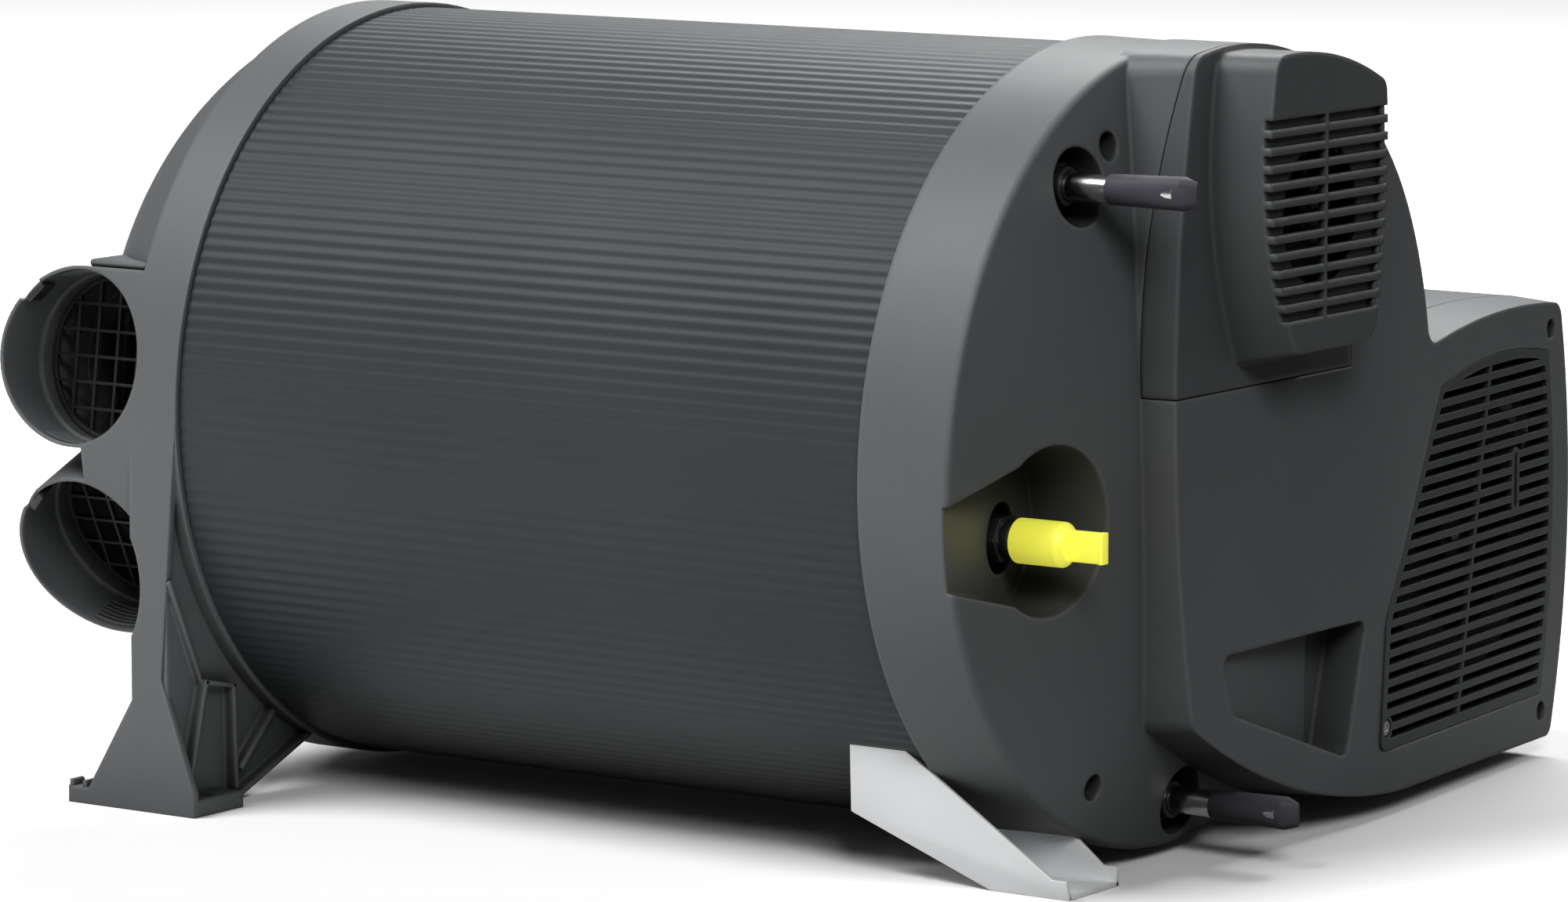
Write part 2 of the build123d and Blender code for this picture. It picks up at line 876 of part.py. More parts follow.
def connection_end_housing():
    dome_cavity = dome_body(moulding_wall)
    dome = dome_body() + rod(-spigot_length, moulding_wall, inner_fit)
    dome -= rod(-spigot_length - overrun, moulding_wall * 2, inner_fit - spigot_wall)
    box = box_body()
    box_cavity = box_body(moulding_wall)
    zone = cover_zone()
    shell = (dome - dome_cavity) + ((box - box_cavity - dome_cavity) - zone)
    shell += electronics_tongue()
    shell += grille_frame_ledge() & box
    shell += grip_pocket(moulding_wall) & box
    shell += (gas_pocket(moulding_wall) & dome_body()) - box_cavity
    for y, z, radius, floor_x, hole in wells():
        wall = well_wall if floor_x == well_floor_x else boss_wall
        start = floor_x - wall if floor_x == well_floor_x else disc_top
        shell += rod(start, rim_length + dome_rise, radius + wall, y, z) & dome_body()
    for y, z in board_posts():
        shell += rod(rim_length + dome_rise / 2, board_x, board_post_radius, y, z)
    for y, z in ((box_boss_top_y, box_boss_top_z), (box_boss_low_y, box_boss_low_z)):
        boss = rod(parting_x, box_front_x, box_boss_radius + boss_wall, y, z)
        shell += boss & box_body()
    for y, z, radius, floor_x, hole in wells():
        shell -= rod(floor_x, box_front_x, radius, y, z)
        shell -= rod(-spigot_length - overrun, floor_x + overrun, hole + seat_gap, y, z)
    for y, z in ((box_boss_top_y, box_boss_top_z), (box_boss_low_y, box_boss_low_z)):
        shell -= rod(parting_x + boss_floor, box_front_x + overrun, box_boss_radius, y, z)
        shell -= rod(0, box_front_x, screw_shank_radius + seat_gap, y, z)
    shell -= gas_pocket()
    shell -= rod(0, rim_length, gas_hole_radius, gas_recess_y, gas_axis_z)
    shell -= grip_pocket()
    shell -= grille_opening()
    shell -= rear_passage()
    shell -= board_posts_holes()
    return main_piece(shell)


def rear_passage():
    # Opening between the drum and the fan box for warm air, exhaust and burner air.
    return block(passage_x0, scroll_x1 + overrun, passage_y0, rim_radius + overrun * 2,
                 passage_foot_z, passage_top_z)


def board_posts():
    left = board_left_y + board_post_inset
    right = board_right_y - board_post_inset
    low = board_foot_z + board_post_inset
    high = board_top_z - board_post_inset
    return [(left, low), (right, low), (left, high), (right, high)]


def board_posts_holes():
    holes = Part()
    for y, z in board_posts():
        holes += rod(board_x - overrun, board_x + overrun, screw_shank_radius / 2, y, z)
    return holes


def fan_box_rear_shell():
    outline = box_outline(0, box_flare())
    inner = box_outline(moulding_wall, box_flare())
    hug = rim_radius + seat_gap
    side = slab(Pos((rear_shell_start_y + right_mid_y) / 2 + overrun * 2, 0)
                * Rectangle(right_mid_y - rear_shell_start_y + overrun * 4, rim_radius * 4),
                box_rear_x - overrun, parting_x + overrun)
    outer = (slab(outline, box_rear_x, parting_x - seat_gap) & side) - rod(box_rear_x - overrun, parting_x, hug)
    cavity = slab(inner, box_rear_x + moulding_wall, parting_x)
    cavity -= rod(box_rear_x - overrun, parting_x + overrun, hug + moulding_wall)
    cavity = cavity & Pos(0, moulding_wall, 0) * side
    shell = outer - cavity
    for y, z in scroll_posts_places():
        shell += rod(box_rear_x, scroll_x0, scroll_post_radius, y, z)
    for y, z in ((box_boss_top_y, box_boss_top_z), (box_boss_low_y, box_boss_low_z)):
        shell += rod(box_rear_x, parting_x - seat_gap, screw_shank_radius + boss_wall, y, z) & slab(
            outline, box_rear_x, parting_x)
    for y, z in ((box_boss_top_y, box_boss_top_z), (box_boss_low_y, box_boss_low_z)):
        shell -= rod(box_rear_x + moulding_wall, parting_x, screw_shank_radius + run_gap, y, z)
    shell -= rear_passage()
    bore = extrude(flue_plane(flue_tip_y) * Circle(flue_root_radius + seat_gap), flue_box_y1 - flue_tip_y)
    return main_piece(shell - bore)


def scroll_posts_places():
    reach = blower_wheel_radius
    places = []
    for i in range(scroll_posts):
        y, z = on_circle(reach, -90 + scroll_post_turn + (i - 1) * 65)
        places.append((blower_y + y, blower_z + z))
    return places


def flue_plane(y, z=exhaust_z):
    return Plane(origin=(flue_x, y, z), x_dir=(1, 0, 0), z_dir=(0, 1, 0))


def flue_adapter():
    box = block(flue_box_x0, flue_box_x1, flue_box_y0, flue_box_y1, flue_box_foot_z, flue_box_top_z)
    w = flue_box_wall
    box -= block(flue_box_x0 + w, flue_box_x1 - w, flue_box_y0 + w, flue_box_y1 - w,
                 flue_box_foot_z + w, flue_box_top_z - w)
    length = flue_tip_y - flue_box_y1 + w
    box += extrude(flue_plane(flue_box_y1 - w) * Circle(flue_root_radius), flue_root_y - flue_box_y1 + w)
    box += extrude(flue_plane(flue_box_y1 - w) * Circle(flue_collar_radius), length)
    box -= extrude(flue_plane(flue_box_y1 - w * 2) * Circle(flue_collar_radius - flue_collar_wall), length + w * 2)
    box -= extrude(flue_plane(flue_box_y0 - w) * Circle(exhaust_radius + seat_gap), w * 3)
    return box - extrude(flue_plane(flue_box_y0 - w, air_duct_z) * Circle(air_duct_radius - air_duct_wall), w * 3)


def exhaust_pipe():
    start = (disc_top + burner_flange_wall, exhaust_port_y, exhaust_z)
    corner = (flue_x, exhaust_port_y, exhaust_z)
    end = (flue_x, flue_tip_y, exhaust_z)
    path = FilletPolyline(start, corner, end, radius=exhaust_bend)
    ring = Circle(exhaust_radius) - Circle(exhaust_radius - exhaust_wall)
    return sweep(Plane(origin=start, z_dir=(1, 0, 0)) * ring, path=path)


def combustion_air_duct():
    start_y = burn_fan_y
    length = flue_box_y0 - start_y
    ring = Circle(air_duct_radius) - Circle(air_duct_radius - air_duct_wall)
    duct = extrude(flue_plane(start_y, air_duct_z) * ring, length)
    return duct - rod(-overrun, rim_length, burn_fan_radius + seat_gap, burn_fan_y, burn_fan_z)


def air_end_profile(inset=0):
    start_x = -shell_length
    points = [
        (start_x, ring_radius - inset),
        (shoulder_start_x, ring_radius - inset),
        (shoulder_start_x, shoulder_start_radius - inset),
    ]
    end_x = air_end_x + inset
    curve = Spline(points[-1], (shoulder_x1 + inset / 2, shoulder_radius1 - inset / 2),
                   (shoulder_x2 + inset / 2, shoulder_radius2 - inset / 2),
                   (shoulder_x3 + inset, shoulder_radius3 - inset / 2), (end_x, shoulder_radius3 / 2))
    edges = [Polyline(*points), curve, Polyline(curve @ 1, (end_x, 0), (start_x, 0), points[0])]
    return make_face(Curve() + edges)


def outlet_plane(angle, side, reach):
    # Plane across an outlet, at a distance from the drum axis, looking outwards.
    y = cos(radians(angle)) * side
    z = sin(radians(angle))
    return Plane(origin=(outlet_x, y * reach, z * reach), x_dir=(1, 0, 0), z_dir=(0, y, z))


def outlet_angles():
    places = []
    for side in (-1, 1):
        places.append((outlet_upper_rise, side))
        places.append((-outlet_lower_fall, side))
    return places


def outlet_body(angle, side):
    # A round mouth on the left that runs square into the ring on the right.
    width = shoulder_start_x + overrun - outlet_x
    plane = outlet_plane(angle, side, outlet_root_radius)
    length = ring_radius - outlet_root_radius + overrun * 2
    flat = Pos(width / 2, 0) * Rectangle(width, outlet_radius * 2)
    return extrude(plane * (Circle(outlet_radius) + flat), length)


def outlet_bore_cutter(angle, side):
    plane = outlet_plane(angle, side, outlet_root_radius)
    length = ring_radius - outlet_root_radius + overrun * 3
    bore = extrude(plane * Circle(outlet_bore), length)
    step_plane = outlet_plane(angle, side, ring_radius - outlet_step_depth)
    bore += extrude(step_plane * Circle(outlet_bore + outlet_step - seat_gap), outlet_step_depth)
    # The duct's way in, clear of the foot's plate.
    return bore + extrude(outlet_plane(angle, side, ring_radius) * Circle(outlet_radius), outlet_step_depth)


def latch_notch(angle, side):
    # The gap in the mouth's edge that the duct's latch snaps into.
    plane = outlet_plane(angle, side, ring_radius - latch_depth)
    turn = latch_turn if side < 0 else -latch_turn
    place = Rot(0, 0, turn) * Pos(outlet_radius, 0)
    return extrude(plane * place * Rectangle(outlet_step * 4, latch_width), latch_depth * 2)


def foot(side):
    # Plate under the ring, its base and the ribs behind the plate.
    plate_points = [
        (foot_right_top_x, 0),
        (foot_knee_x, foot_knee_z),
        (foot_base_x1, foot_right_toe_z),
        (foot_base_x1, floor_z),
        (foot_base_x0, floor_z),
        (foot_base_x0, floor_z + foot_base_height),
        (foot_left_toe_x, foot_left_toe_z),
        (foot_left_x, foot_left_knee_z),
        (foot_left_x, 0),
    ]
    front_y = -ring_radius
    plate = extrude(Plane.XZ * make_face(Polyline(*plate_points, close=True)), foot_wall)
    plate = Pos(0, front_y + foot_wall, 0) * plate
    base = block(foot_base_x0, foot_base_x1, front_y, foot_back_y, floor_z, floor_z + foot_base_height)
    rib = block(foot_rib_x - foot_rib_wall, foot_rib_x, front_y, foot_back_y + overrun * 2, floor_z, foot_rib_top_z)
    slots = Part()
    for x in (foot_base_x0 + foot_slot_inset, foot_base_x1 - foot_slot_inset):
        slot = Pos(x, (front_y + foot_back_y) / 2) * SlotOverall(foot_slot_length, foot_slot_width)
        slots += extrude(Pos(0, 0, floor_z - overrun) * slot, foot_base_height + overrun * 2)
    body = plate + base + rib - slots
    return body if side < 0 else mirror(body, Plane.XZ)


def air_end_housing():
    limit = rod(air_end_x * 2, 0, ring_radius)
    outer = revolve(Plane.XZ * air_end_profile(), Axis.X)
    for angle, side in outlet_angles():
        outer += outlet_body(angle, side) & limit
    for side in (-1, 1):
        outer += outlet_web(side)
    cavity = revolve(Plane.XZ * air_end_profile(air_wall), Axis.X)
    shell = outer - cavity
    for side in (-1, 1):
        shell += foot(side) - rod(shoulder_start_x * 2, 0, ring_radius - air_wall)
    shell += tube(-shell_length - overrun, -shell_length + air_spigot_length, inner_fit, inner_fit - spigot_wall)
    shell += tube(-shell_length - overrun, -shell_length, ring_radius, inner_fit - spigot_wall)
    for angle, side in outlet_angles():
        shell -= outlet_bore_cutter(angle, side)
        shell -= latch_notch(angle, side)
    return main_piece(shell)


def outlet_web(side):
    # The wall between the two mouths of one side, on the same radius as the ring.
    low = ring_radius * sin(radians(-outlet_lower_fall))
    high = ring_radius * sin(radians(outlet_upper_rise))
    span = block(web_edge_x, shoulder_start_x + overrun, 0, ring_radius, low, high)
    ring = tube(web_edge_x - overrun, shoulder_start_x + overrun, ring_radius, outlet_root_radius)
    web = span & ring
    return web if side > 0 else mirror(web, Plane.XZ)


def outlet_grid(angle, side):
    plane = outlet_plane(angle, side, ring_radius - grid_depth)
    radius = outlet_bore - seat_gap
    disc = Circle(radius)
    pitch = (radius - grid_rim) * 2 / grid_bars
    holes = Sketch()
    for i in range(grid_bars):
        for j in range(grid_bars):
            place = Pos((i - (grid_bars - 1) / 2) * pitch, (j - (grid_bars - 1) / 2) * pitch)
            holes += place * Rectangle(pitch - grid_bar, pitch - grid_bar)
    return extrude(plane * (disc - (holes & Circle(radius - grid_rim))), grid_wall)


def insulation_sleeve():
    return tube(sleeve_x0, disc_x - seat_gap, inner_fit, tank_outer_radius + sleeve_inner_gap)


def water_tank():
    def ring(inset):
        width = tank_outer_radius - tank_inner_radius - inset * 2
        length = tank_x1 - tank_x0 - inset * 2
        section = RectangleRounded(length, width, tank_rounding - inset)
        place = Pos((tank_x0 + tank_x1) / 2, (tank_outer_radius + tank_inner_radius) / 2)
        return revolve(Plane.XZ * place * section, Axis.X)
    tank = ring(0) - ring(tank_wall)
    for y, z in (hot_port(), cold_port()):
        tank -= rod(tank_x1 - tank_wall * 2, tank_x1 + overrun, tank_port_radius, y, z)
    return tank


def hot_port():
    return (hot_well_y * hot_port_share, hot_well_z * hot_port_share)


def cold_port():
    return (cold_well_y * cold_port_share, cold_well_z * cold_port_share)


def heat_exchanger():
    radius = exchanger_radius
    outer = rod(exchanger_x0, disc_x, radius)
    outer = fillet(outer.edges().sort_by(Axis.X)[0], exchanger_rounding)
    body = outer + rod(disc_x - exchanger_flange_wall, disc_x, exchanger_flange_radius)
    fin_end = disc_x - exchanger_flange_wall - seat_gap
    fin = Pos(radius + exchanger_fin_reach / 2 - exchanger_wall / 2, 0) * Rectangle(
        exchanger_fin_reach + exchanger_wall, exchanger_fin_wall)
    fins = Sketch()
    for i in range(exchanger_fins):
        fins += Rot(0, 0, i * full_turn / exchanger_fins) * fin
    body += slab(fins - Circle(radius - exchanger_wall / 2), exchanger_x0 + exchanger_rounding * 2, fin_end)
    return body - rod(exchanger_x0 + exchanger_wall, disc_x + overrun, radius - exchanger_wall)


def carrier_disc():
    face = Circle(inner_fit) - Circle(exchanger_radius - exchanger_wall + seat_gap)
    for i in range(disc_slots):
        face -= disc_slot(i * full_turn / disc_slots + full_turn / disc_slots / 2)
    for y, z in (hot_port(), cold_port()):
        face -= Pos(y, z) * Circle(pipe_radius + seat_gap)
    for y, z in ((upper_boss_y, upper_boss_z), (lower_boss_y, lower_boss_z)):
        face -= Pos(y, z) * Circle(screw_shank_radius + run_gap)
    return slab(face, disc_x, disc_top)


def disc_slot(turn):
    half = disc_slot_angle / 2
    inner0 = on_circle(disc_slot_inner, turn - half)
    inner_mid = on_circle(disc_slot_inner, turn)
    inner1 = on_circle(disc_slot_inner, turn + half)
    outer0 = on_circle(disc_slot_outer, turn - half)
    outer_mid = on_circle(disc_slot_outer, turn)
    outer1 = on_circle(disc_slot_outer, turn + half)
    edges = [
        ThreePointArc(inner0, inner_mid, inner1),
        Line(inner1, outer1),
        ThreePointArc(outer1, outer_mid, outer0),
        Line(outer0, inner0),
    ]
    return make_face(edges)


def burner():
    top = disc_top + burner_flange_wall
    body = rod(disc_top, top, exchanger_flange_radius)
    body += rod(top - flame_tube_length, disc_top, flame_tube_radius)
    body -= rod(top - flame_tube_length + flame_tube_wall, disc_top, flame_tube_radius - flame_tube_wall)
    for row in range(burner_hole_rows):
        x = top - flame_tube_length + burner_hole_pitch * (row + 1)
        for i in range(burner_holes):
            hole = Cylinder(burner_hole_radius, flame_tube_radius * 2, align=(Align.CENTER, Align.CENTER, Align.MIN))
            body -= Pos(x, 0, 0) * Rot(i * full_turn / burner_holes, 0, 0) * hole
    body -= rod(disc_x, top + overrun, burn_outlet_radius)
    body -= rod(disc_x, top + overrun, exhaust_radius - exhaust_wall, exhaust_port_y, exhaust_z)
    return body - rod(disc_x, top + overrun, electrode_radius + seat_gap, electrode_y, electrode_z)


def ignition_electrode():
    top = disc_top + burner_flange_wall
    body = rod(top - electrode_length + electrode_pin_length, top + electrode_pin_length, electrode_radius,
               electrode_y, electrode_z)
    collar = rod(top, top + electrode_pin_length / 2, electrode_radius * 1.5, electrode_y, electrode_z)
    return body + collar + rod(top - electrode_length, top, electrode_pin_radius, electrode_y, electrode_z)


def burn_fan_x():
    return disc_top + burner_flange_wall


def combustion_fan_housing():
    x0 = burn_fan_x()
    x1 = x0 + burn_fan_depth
    body = rod(x0, x1, burn_fan_radius, burn_fan_y, burn_fan_z)
    body -= rod(x0 + burn_fan_wall, x1 - burn_fan_wall, burn_fan_radius - burn_fan_wall, burn_fan_y, burn_fan_z)
    body -= rod(x0 - overrun, x0 + overrun / 2, burn_outlet_radius)
    half = (air_duct_radius - air_duct_wall) * window_share
    body -= block(flue_x - half, flue_x + half, burn_fan_y + burn_fan_radius / 2, burn_fan_y + burn_fan_radius * 2,
                  air_duct_z - half, air_duct_z + half)
    return body - rod(x1 - overrun, x1 + overrun, burn_shaft_radius + seat_gap, burn_fan_y, burn_fan_z)


def combustion_fan_wheel():
    x0 = burn_fan_x() + burn_fan_wall + burn_wheel_gap
    x1 = x0 + burn_wheel_depth
    body = rod(x0, x0 + burn_fan_wall, burn_wheel_radius, burn_fan_y, burn_fan_z)
    body += rod(x0, x1, burn_hub_radius, burn_fan_y, burn_fan_z)
    blade = Pos((burn_wheel_radius + burn_hub_radius) / 2, 0) * Rectangle(
        burn_wheel_radius - burn_hub_radius - seat_gap, burn_blade_wall)
    blades = Sketch()
    for i in range(burn_blades):
        blades += Rot(0, 0, i * full_turn / burn_blades) * Pos(0, burn_hub_radius / 2) * blade
    body += slab(Pos(burn_fan_y, burn_fan_z) * blades, x0, x1)
    return body - rod(x0 - overrun, x1 + overrun, burn_shaft_radius + run_gap, burn_fan_y, burn_fan_z)


def combustion_fan_motor():
    x1 = burn_fan_x() + burn_fan_depth
    body = rod(x1, x1 + burn_motor_length, burn_motor_radius, burn_fan_y, burn_fan_z)
    body = fillet(body.edges().sort_by(Axis.X)[-1], motor_rounding)
    start = burn_fan_x() + burn_fan_wall + burn_wheel_gap - seat_gap
    return body + rod(start, x1, burn_shaft_radius, burn_fan_y, burn_fan_z)


def blower_scroll():
    round_case = Pos(blower_y, blower_z) * Circle(blower_wheel_radius + scroll_clearance + scroll_wall)
    round_room = Pos(blower_y, blower_z) * Circle(blower_wheel_radius + scroll_clearance)
    top_z = blower_z + blower_wheel_radius + scroll_clearance
    low_z = blower_z + scroll_growth
    w = scroll_wall
    throat = make_face(Polyline((scroll_mouth_y, low_z - w), (blower_y, low_z - w), (blower_y, top_z + w),
                                (scroll_mouth_y, top_z + w), close=True))
    room = make_face(Polyline((scroll_mouth_y - w, low_z), (blower_y, low_z), (blower_y, top_z),
                              (scroll_mouth_y - w, top_z), close=True))
    case = slab(round_case + throat, scroll_x0, scroll_x1)
    case -= slab(round_room + room, scroll_x0 + w, scroll_x1 - w)
    case -= rod(scroll_x1 - overrun / 2, scroll_x1 + overrun, blower_inner_radius, blower_y, blower_z)
    return case - rod(0, scroll_x1 - overrun, blower_shaft_radius + seat_gap, blower_y, blower_z)


def blower_wheel():
    x0 = blower_wheel_x0
    x1 = x0 + blower_wheel_depth
    disc = blower_disc_wall
    body = rod(x0, x0 + disc, blower_wheel_radius, blower_y, blower_z)
    body += tube(x1 - disc, x1, blower_wheel_radius, blower_inner_radius, blower_y, blower_z)
    body += rod(x0, x1 - disc, blower_hub_radius, blower_y, blower_z)
    span = blower_wheel_radius - blower_inner_radius
    blade = Rot(0, 0, blower_blade_lean) * Rectangle(span, blower_blade_wall)
    blades = Sketch()
    for i in range(blower_blades):
        blades += Rot(0, 0, i * full_turn / blower_blades) * Pos(blower_inner_radius + span / 2, 0) * blade
    body += slab(Pos(blower_y, blower_z) * (blades & Circle(blower_wheel_radius)), x0, x1)
    return body - rod(x0 - overrun, x1 + overrun, blower_shaft_radius + run_gap, blower_y, blower_z)


def blower_motor():
    body = rod(scroll_x0 - blower_motor_length, scroll_x0, blower_motor_radius, blower_y, blower_z)
    body = fillet(body.edges().sort_by(Axis.X)[0], motor_rounding)
    end = blower_wheel_x0 + blower_wheel_depth
    return body + rod(scroll_x0, end, blower_shaft_radius, blower_y, blower_z)


def cooling_front():
    return hood_front_x - hood_front_wall


def cooling_fan_frame():
    x1 = cooling_front()
    x0 = x1 - cooling_depth
    outer = fan_opening_radius + cooling_ring_wall
    ring = Circle(outer)
    for i in range(cooling_struts):
        y, z = on_circle(cooling_ear_reach, 45 + i * full_turn / cooling_struts)
        ring += Pos(y, z) * Circle(cooling_ear_radius)
    ring -= Circle(fan_opening_radius)
    place = Pos(fan_opening_y, fan_opening_z)
    body = slab(place * ring, x0, x1)
    spokes = Circle(cooling_hub_radius)
    for i in range(cooling_struts):
        spoke = Pos(outer / 2, 0) * Rectangle(outer, cooling_strut)
        spokes += Rot(0, 0, i * full_turn / cooling_struts) * spoke
    body += slab(place * (spokes & Circle(outer)), x0, x0 + cooling_plate)
    return body + rod(x0, x1 - cooling_rotor_gap * 2, cooling_shaft_radius, fan_opening_y, fan_opening_z)


def cooling_fan_rotor():
    x0 = cooling_front() - cooling_depth + cooling_plate + cooling_rotor_gap
    x1 = cooling_front() - cooling_rotor_gap
    hub = rod(x0, x1, cooling_hub_radius, fan_opening_y, fan_opening_z)
    span = fan_opening_radius - cooling_tip_gap - cooling_hub_radius
    depth = x1 - x0
    blade = Box(cooling_blade_wall, depth * 0.9, span + cooling_hub_radius / 4)
    blade = Rot(0, 0, cooling_blade_pitch) * blade
    blade = Pos(0, 0, cooling_hub_radius + span / 2 - cooling_hub_radius / 8) * blade
    room = tube(x0, x1, fan_opening_radius - cooling_tip_gap, cooling_hub_radius - cooling_blade_wall)
    blades = Part()
    for i in range(cooling_blades):
        turned_blade = Rot(i * full_turn / cooling_blades, 0, 0) * blade
        blades += Pos((x0 + x1) / 2, 0, 0) * turned_blade
    body = hub + Pos(0, fan_opening_y, fan_opening_z) * (blades & room)
    return body - rod(x0 - overrun, x1 + overrun, cooling_shaft_radius + run_gap, fan_opening_y, fan_opening_z)


def control_board():
    middle_y = (board_left_y + board_right_y) / 2
    middle_z = (board_foot_z + board_top_z) / 2
    board = Pos(middle_y, middle_z) * Rectangle(board_right_y - board_left_y, board_top_z - board_foot_z)
    for y, z in board_posts():
        board -= Pos(y, z) * Circle(screw_shank_radius / 2 + seat_gap)
    return slab(board, board_x, board_x + board_wall)


def plug_sockets():
    group = []
    x0 = board_x + board_wall
    for i in range(sockets):
        y = board_left_y + board_post_inset * 2 + socket_width / 2 + i * socket_pitch
        z = board_foot_z + board_post_inset + socket_height
        body = block(x0, x0 + socket_depth, y - socket_width / 2, y + socket_width / 2, z, z + socket_height)
        wall = tongue_wall
        body -= block(x0 + wall, x0 + socket_depth + overrun, y - socket_width / 2 + wall,
                      y + socket_width / 2 - wall, z + wall, z + socket_height - wall)
        group.append(body)
    return Compound(children=group)


def water_pipe(well_y, well_z, port):
    start = (pipe_tip_x, well_y, well_z)
    bend0 = (pipe_bend_start_x, well_y, well_z)
    bend1 = (pipe_bend_end_x, port[0], port[1])
    end = (tank_x1, port[0], port[1])
    path = FilletPolyline(start, bend0, bend1, end, radius=pipe_bend_radius)
    ring = Circle(pipe_radius) - Circle(pipe_radius - pipe_wall)
    return sweep(Plane(origin=start, z_dir=(-1, 0, 0)) * ring, path=path)


def water_cap(y, z):
    shoulder_x = cap_tip_x - cap_cone_length
    profile = [(cap_start_x, 0), (cap_start_x, cap_start_radius), (shoulder_x, cap_tip_radius),
               (cap_tip_x, cap_cone_radius), (cap_tip_x, 0)]
    body = turned(profile)
    grip = shoulder_x - cap_flat_length
    for side in (-1, 1):
        y0, y1 = sorted((side * cap_flat_half, side * cap_tip_radius * 2))
        body -= block(grip, shoulder_x, y0, y1, -cap_tip_radius * 2, cap_tip_radius * 2)
    body -= rod(cap_start_x - overrun, cap_bore_end_x, pipe_radius + run_gap)
    return Pos(0, y, z) * body


def gas_tube():
    tip = gas_tube_tip_x
    start = disc_top + valve_depth
    return tube(start, tip, gas_tube_radius, gas_tube_bore, gas_recess_y, gas_axis_z)


def gas_clip():
    nut = RegularPolygon(clip_radius, clip_flats) - Circle(gas_tube_radius + run_gap)
    middle = (clip_x0 + clip_x1) / 2
    body = extrude(at_x(clip_x0) * Pos(gas_recess_y, gas_axis_z) * nut, middle - clip_x0)
    collar = tube(middle, clip_x1, clip_radius * 0.8, gas_tube_radius + run_gap, gas_recess_y, gas_axis_z)
    return body + collar


def gas_cap():
    body = rod(gas_cap_x0, gas_cap_body_x1, gas_cap_radius)
    body = chamfer(body.edges().sort_by(Axis.X)[-1], tongue_wall)
    half = gas_tab_half_height
    tab = block(gas_cap_body_x1, gas_cap_tip_x, -gas_tab_wall / 2, gas_tab_wall / 2, -half, half)
    tab += block(gas_cap_tip_x - gas_tab_end, gas_cap_tip_x, -gas_tab_end_wall / 2, gas_tab_end_wall / 2, -half, half)
    body = body + tab - rod(gas_cap_x0 - overrun, gas_cap_bore_end_x, gas_tube_radius + run_gap)
    return Pos(0, gas_recess_y, gas_axis_z) * body


def gas_valve():
    x0 = disc_top
    y0 = gas_recess_y - valve_half_width
    y1 = gas_recess_y + valve_half_width
    body = block(x0, x0 + valve_depth, y0, y1, gas_axis_z - valve_half_height, gas_axis_z + valve_half_height)
    coil_z = gas_axis_z + valve_half_height
    coil = extrude(Plane(origin=(x0 + valve_depth / 2, gas_recess_y, coil_z)) * Circle(valve_coil_radius),
                   valve_coil_length)
    return body + coil


def gas_feed_tube():
    start_y = gas_recess_y + valve_half_width
    length = -exchanger_flange_radius - start_y
    plane = Plane(origin=(disc_top + burner_flange_wall, start_y, 0), x_dir=(1, 0, 0), z_dir=(0, 1, 0))
    z = gas_axis_z + valve_half_height / 2
    ring = Pos(0, -z) * (Circle(feed_tube_radius) - Circle(feed_tube_radius - feed_tube_wall))
    tube_piece = extrude(plane * ring, length + overrun * 2)
    return tube_piece - rod(-rim_length, rim_length, exchanger_flange_radius + seat_gap)


def tank_temperature_sensor():
    return rod(tank_x1, disc_x - sensor_gap, sensor_radius, sensor_y, sensor_z)


def mounting_bracket():
    w = bracket_wall
    lip_z = floor_z + bracket_lip_height
    side_points = [
        (bracket_x0, -rim_radius / 2),
        (bracket_shoulder_x, -rim_radius / 2),
        (bracket_shoulder_x, bracket_top_z()),
        (bracket_lip_x, lip_z),
        (bracket_x1, lip_z),
        (bracket_x1, floor_z),
        (bracket_flat_x, floor_z),
        (bracket_x0, bracket_low_z),
    ]
    solid = Pos(0, bracket_y1, 0) * extrude(Plane.XZ * make_face(Polyline(*side_points, close=True)),
                                            bracket_y1 - bracket_y0)
    room_points = [
        (bracket_x0 - overrun, 0),
        (bracket_x1 + overrun, 0),
        (bracket_x1 + overrun, floor_z + w),
        (bracket_flat_x + w / 2, floor_z + w),
        (bracket_x0 - overrun, bracket_low_z + w + overrun / 2),
    ]
    room = Pos(0, bracket_y1 - w, 0) * extrude(Plane.XZ * make_face(Polyline(*room_points, close=True)),
                                               bracket_y1 - bracket_y0 - w * 2)
    body = solid - room
    body -= rod(bracket_x0 - overrun, 0, shell_radius + bracket_gap)
    body -= rod(-overrun / 2, bracket_x1 + overrun, rim_radius + bracket_gap)
    hole = Pos(bracket_hole_x, (bracket_y0 + bracket_y1) / 2, floor_z) * Cylinder(bracket_hole_radius, w * 4)
    return main_piece(body - hole)


def bracket_top_z():
    # Height of the flange where its slanting edge meets the drum.
    return -circle_height(shell_radius, bracket_y0)


def housing_screw(y, z, seat_x, length):
    head = rod(seat_x, seat_x + screw_head_height, screw_head_radius, y, z)
    socket = slab(Pos(y, z) * RegularPolygon(screw_socket_radius, 6),
                  seat_x + screw_head_height - screw_socket_depth, seat_x + screw_head_height + overrun)
    return head + rod(seat_x - length, seat_x, screw_shank_radius, y, z) - socket


def end_housing_screws():
    seat = disc_top + boss_floor
    length = boss_floor + disc_wall
    upper = housing_screw(upper_boss_y, upper_boss_z, seat, length)
    lower = housing_screw(lower_boss_y, lower_boss_z, seat, length)
    return Compound(children=[upper, lower])


def fan_box_screws():
    seat = parting_x + boss_floor
    length = boss_floor + screw_grip * 3
    upper = housing_screw(box_boss_top_y, box_boss_top_z, seat, length)
    lower = housing_screw(box_boss_low_y, box_boss_low_z, seat, length)
    return Compound(children=[upper, lower])


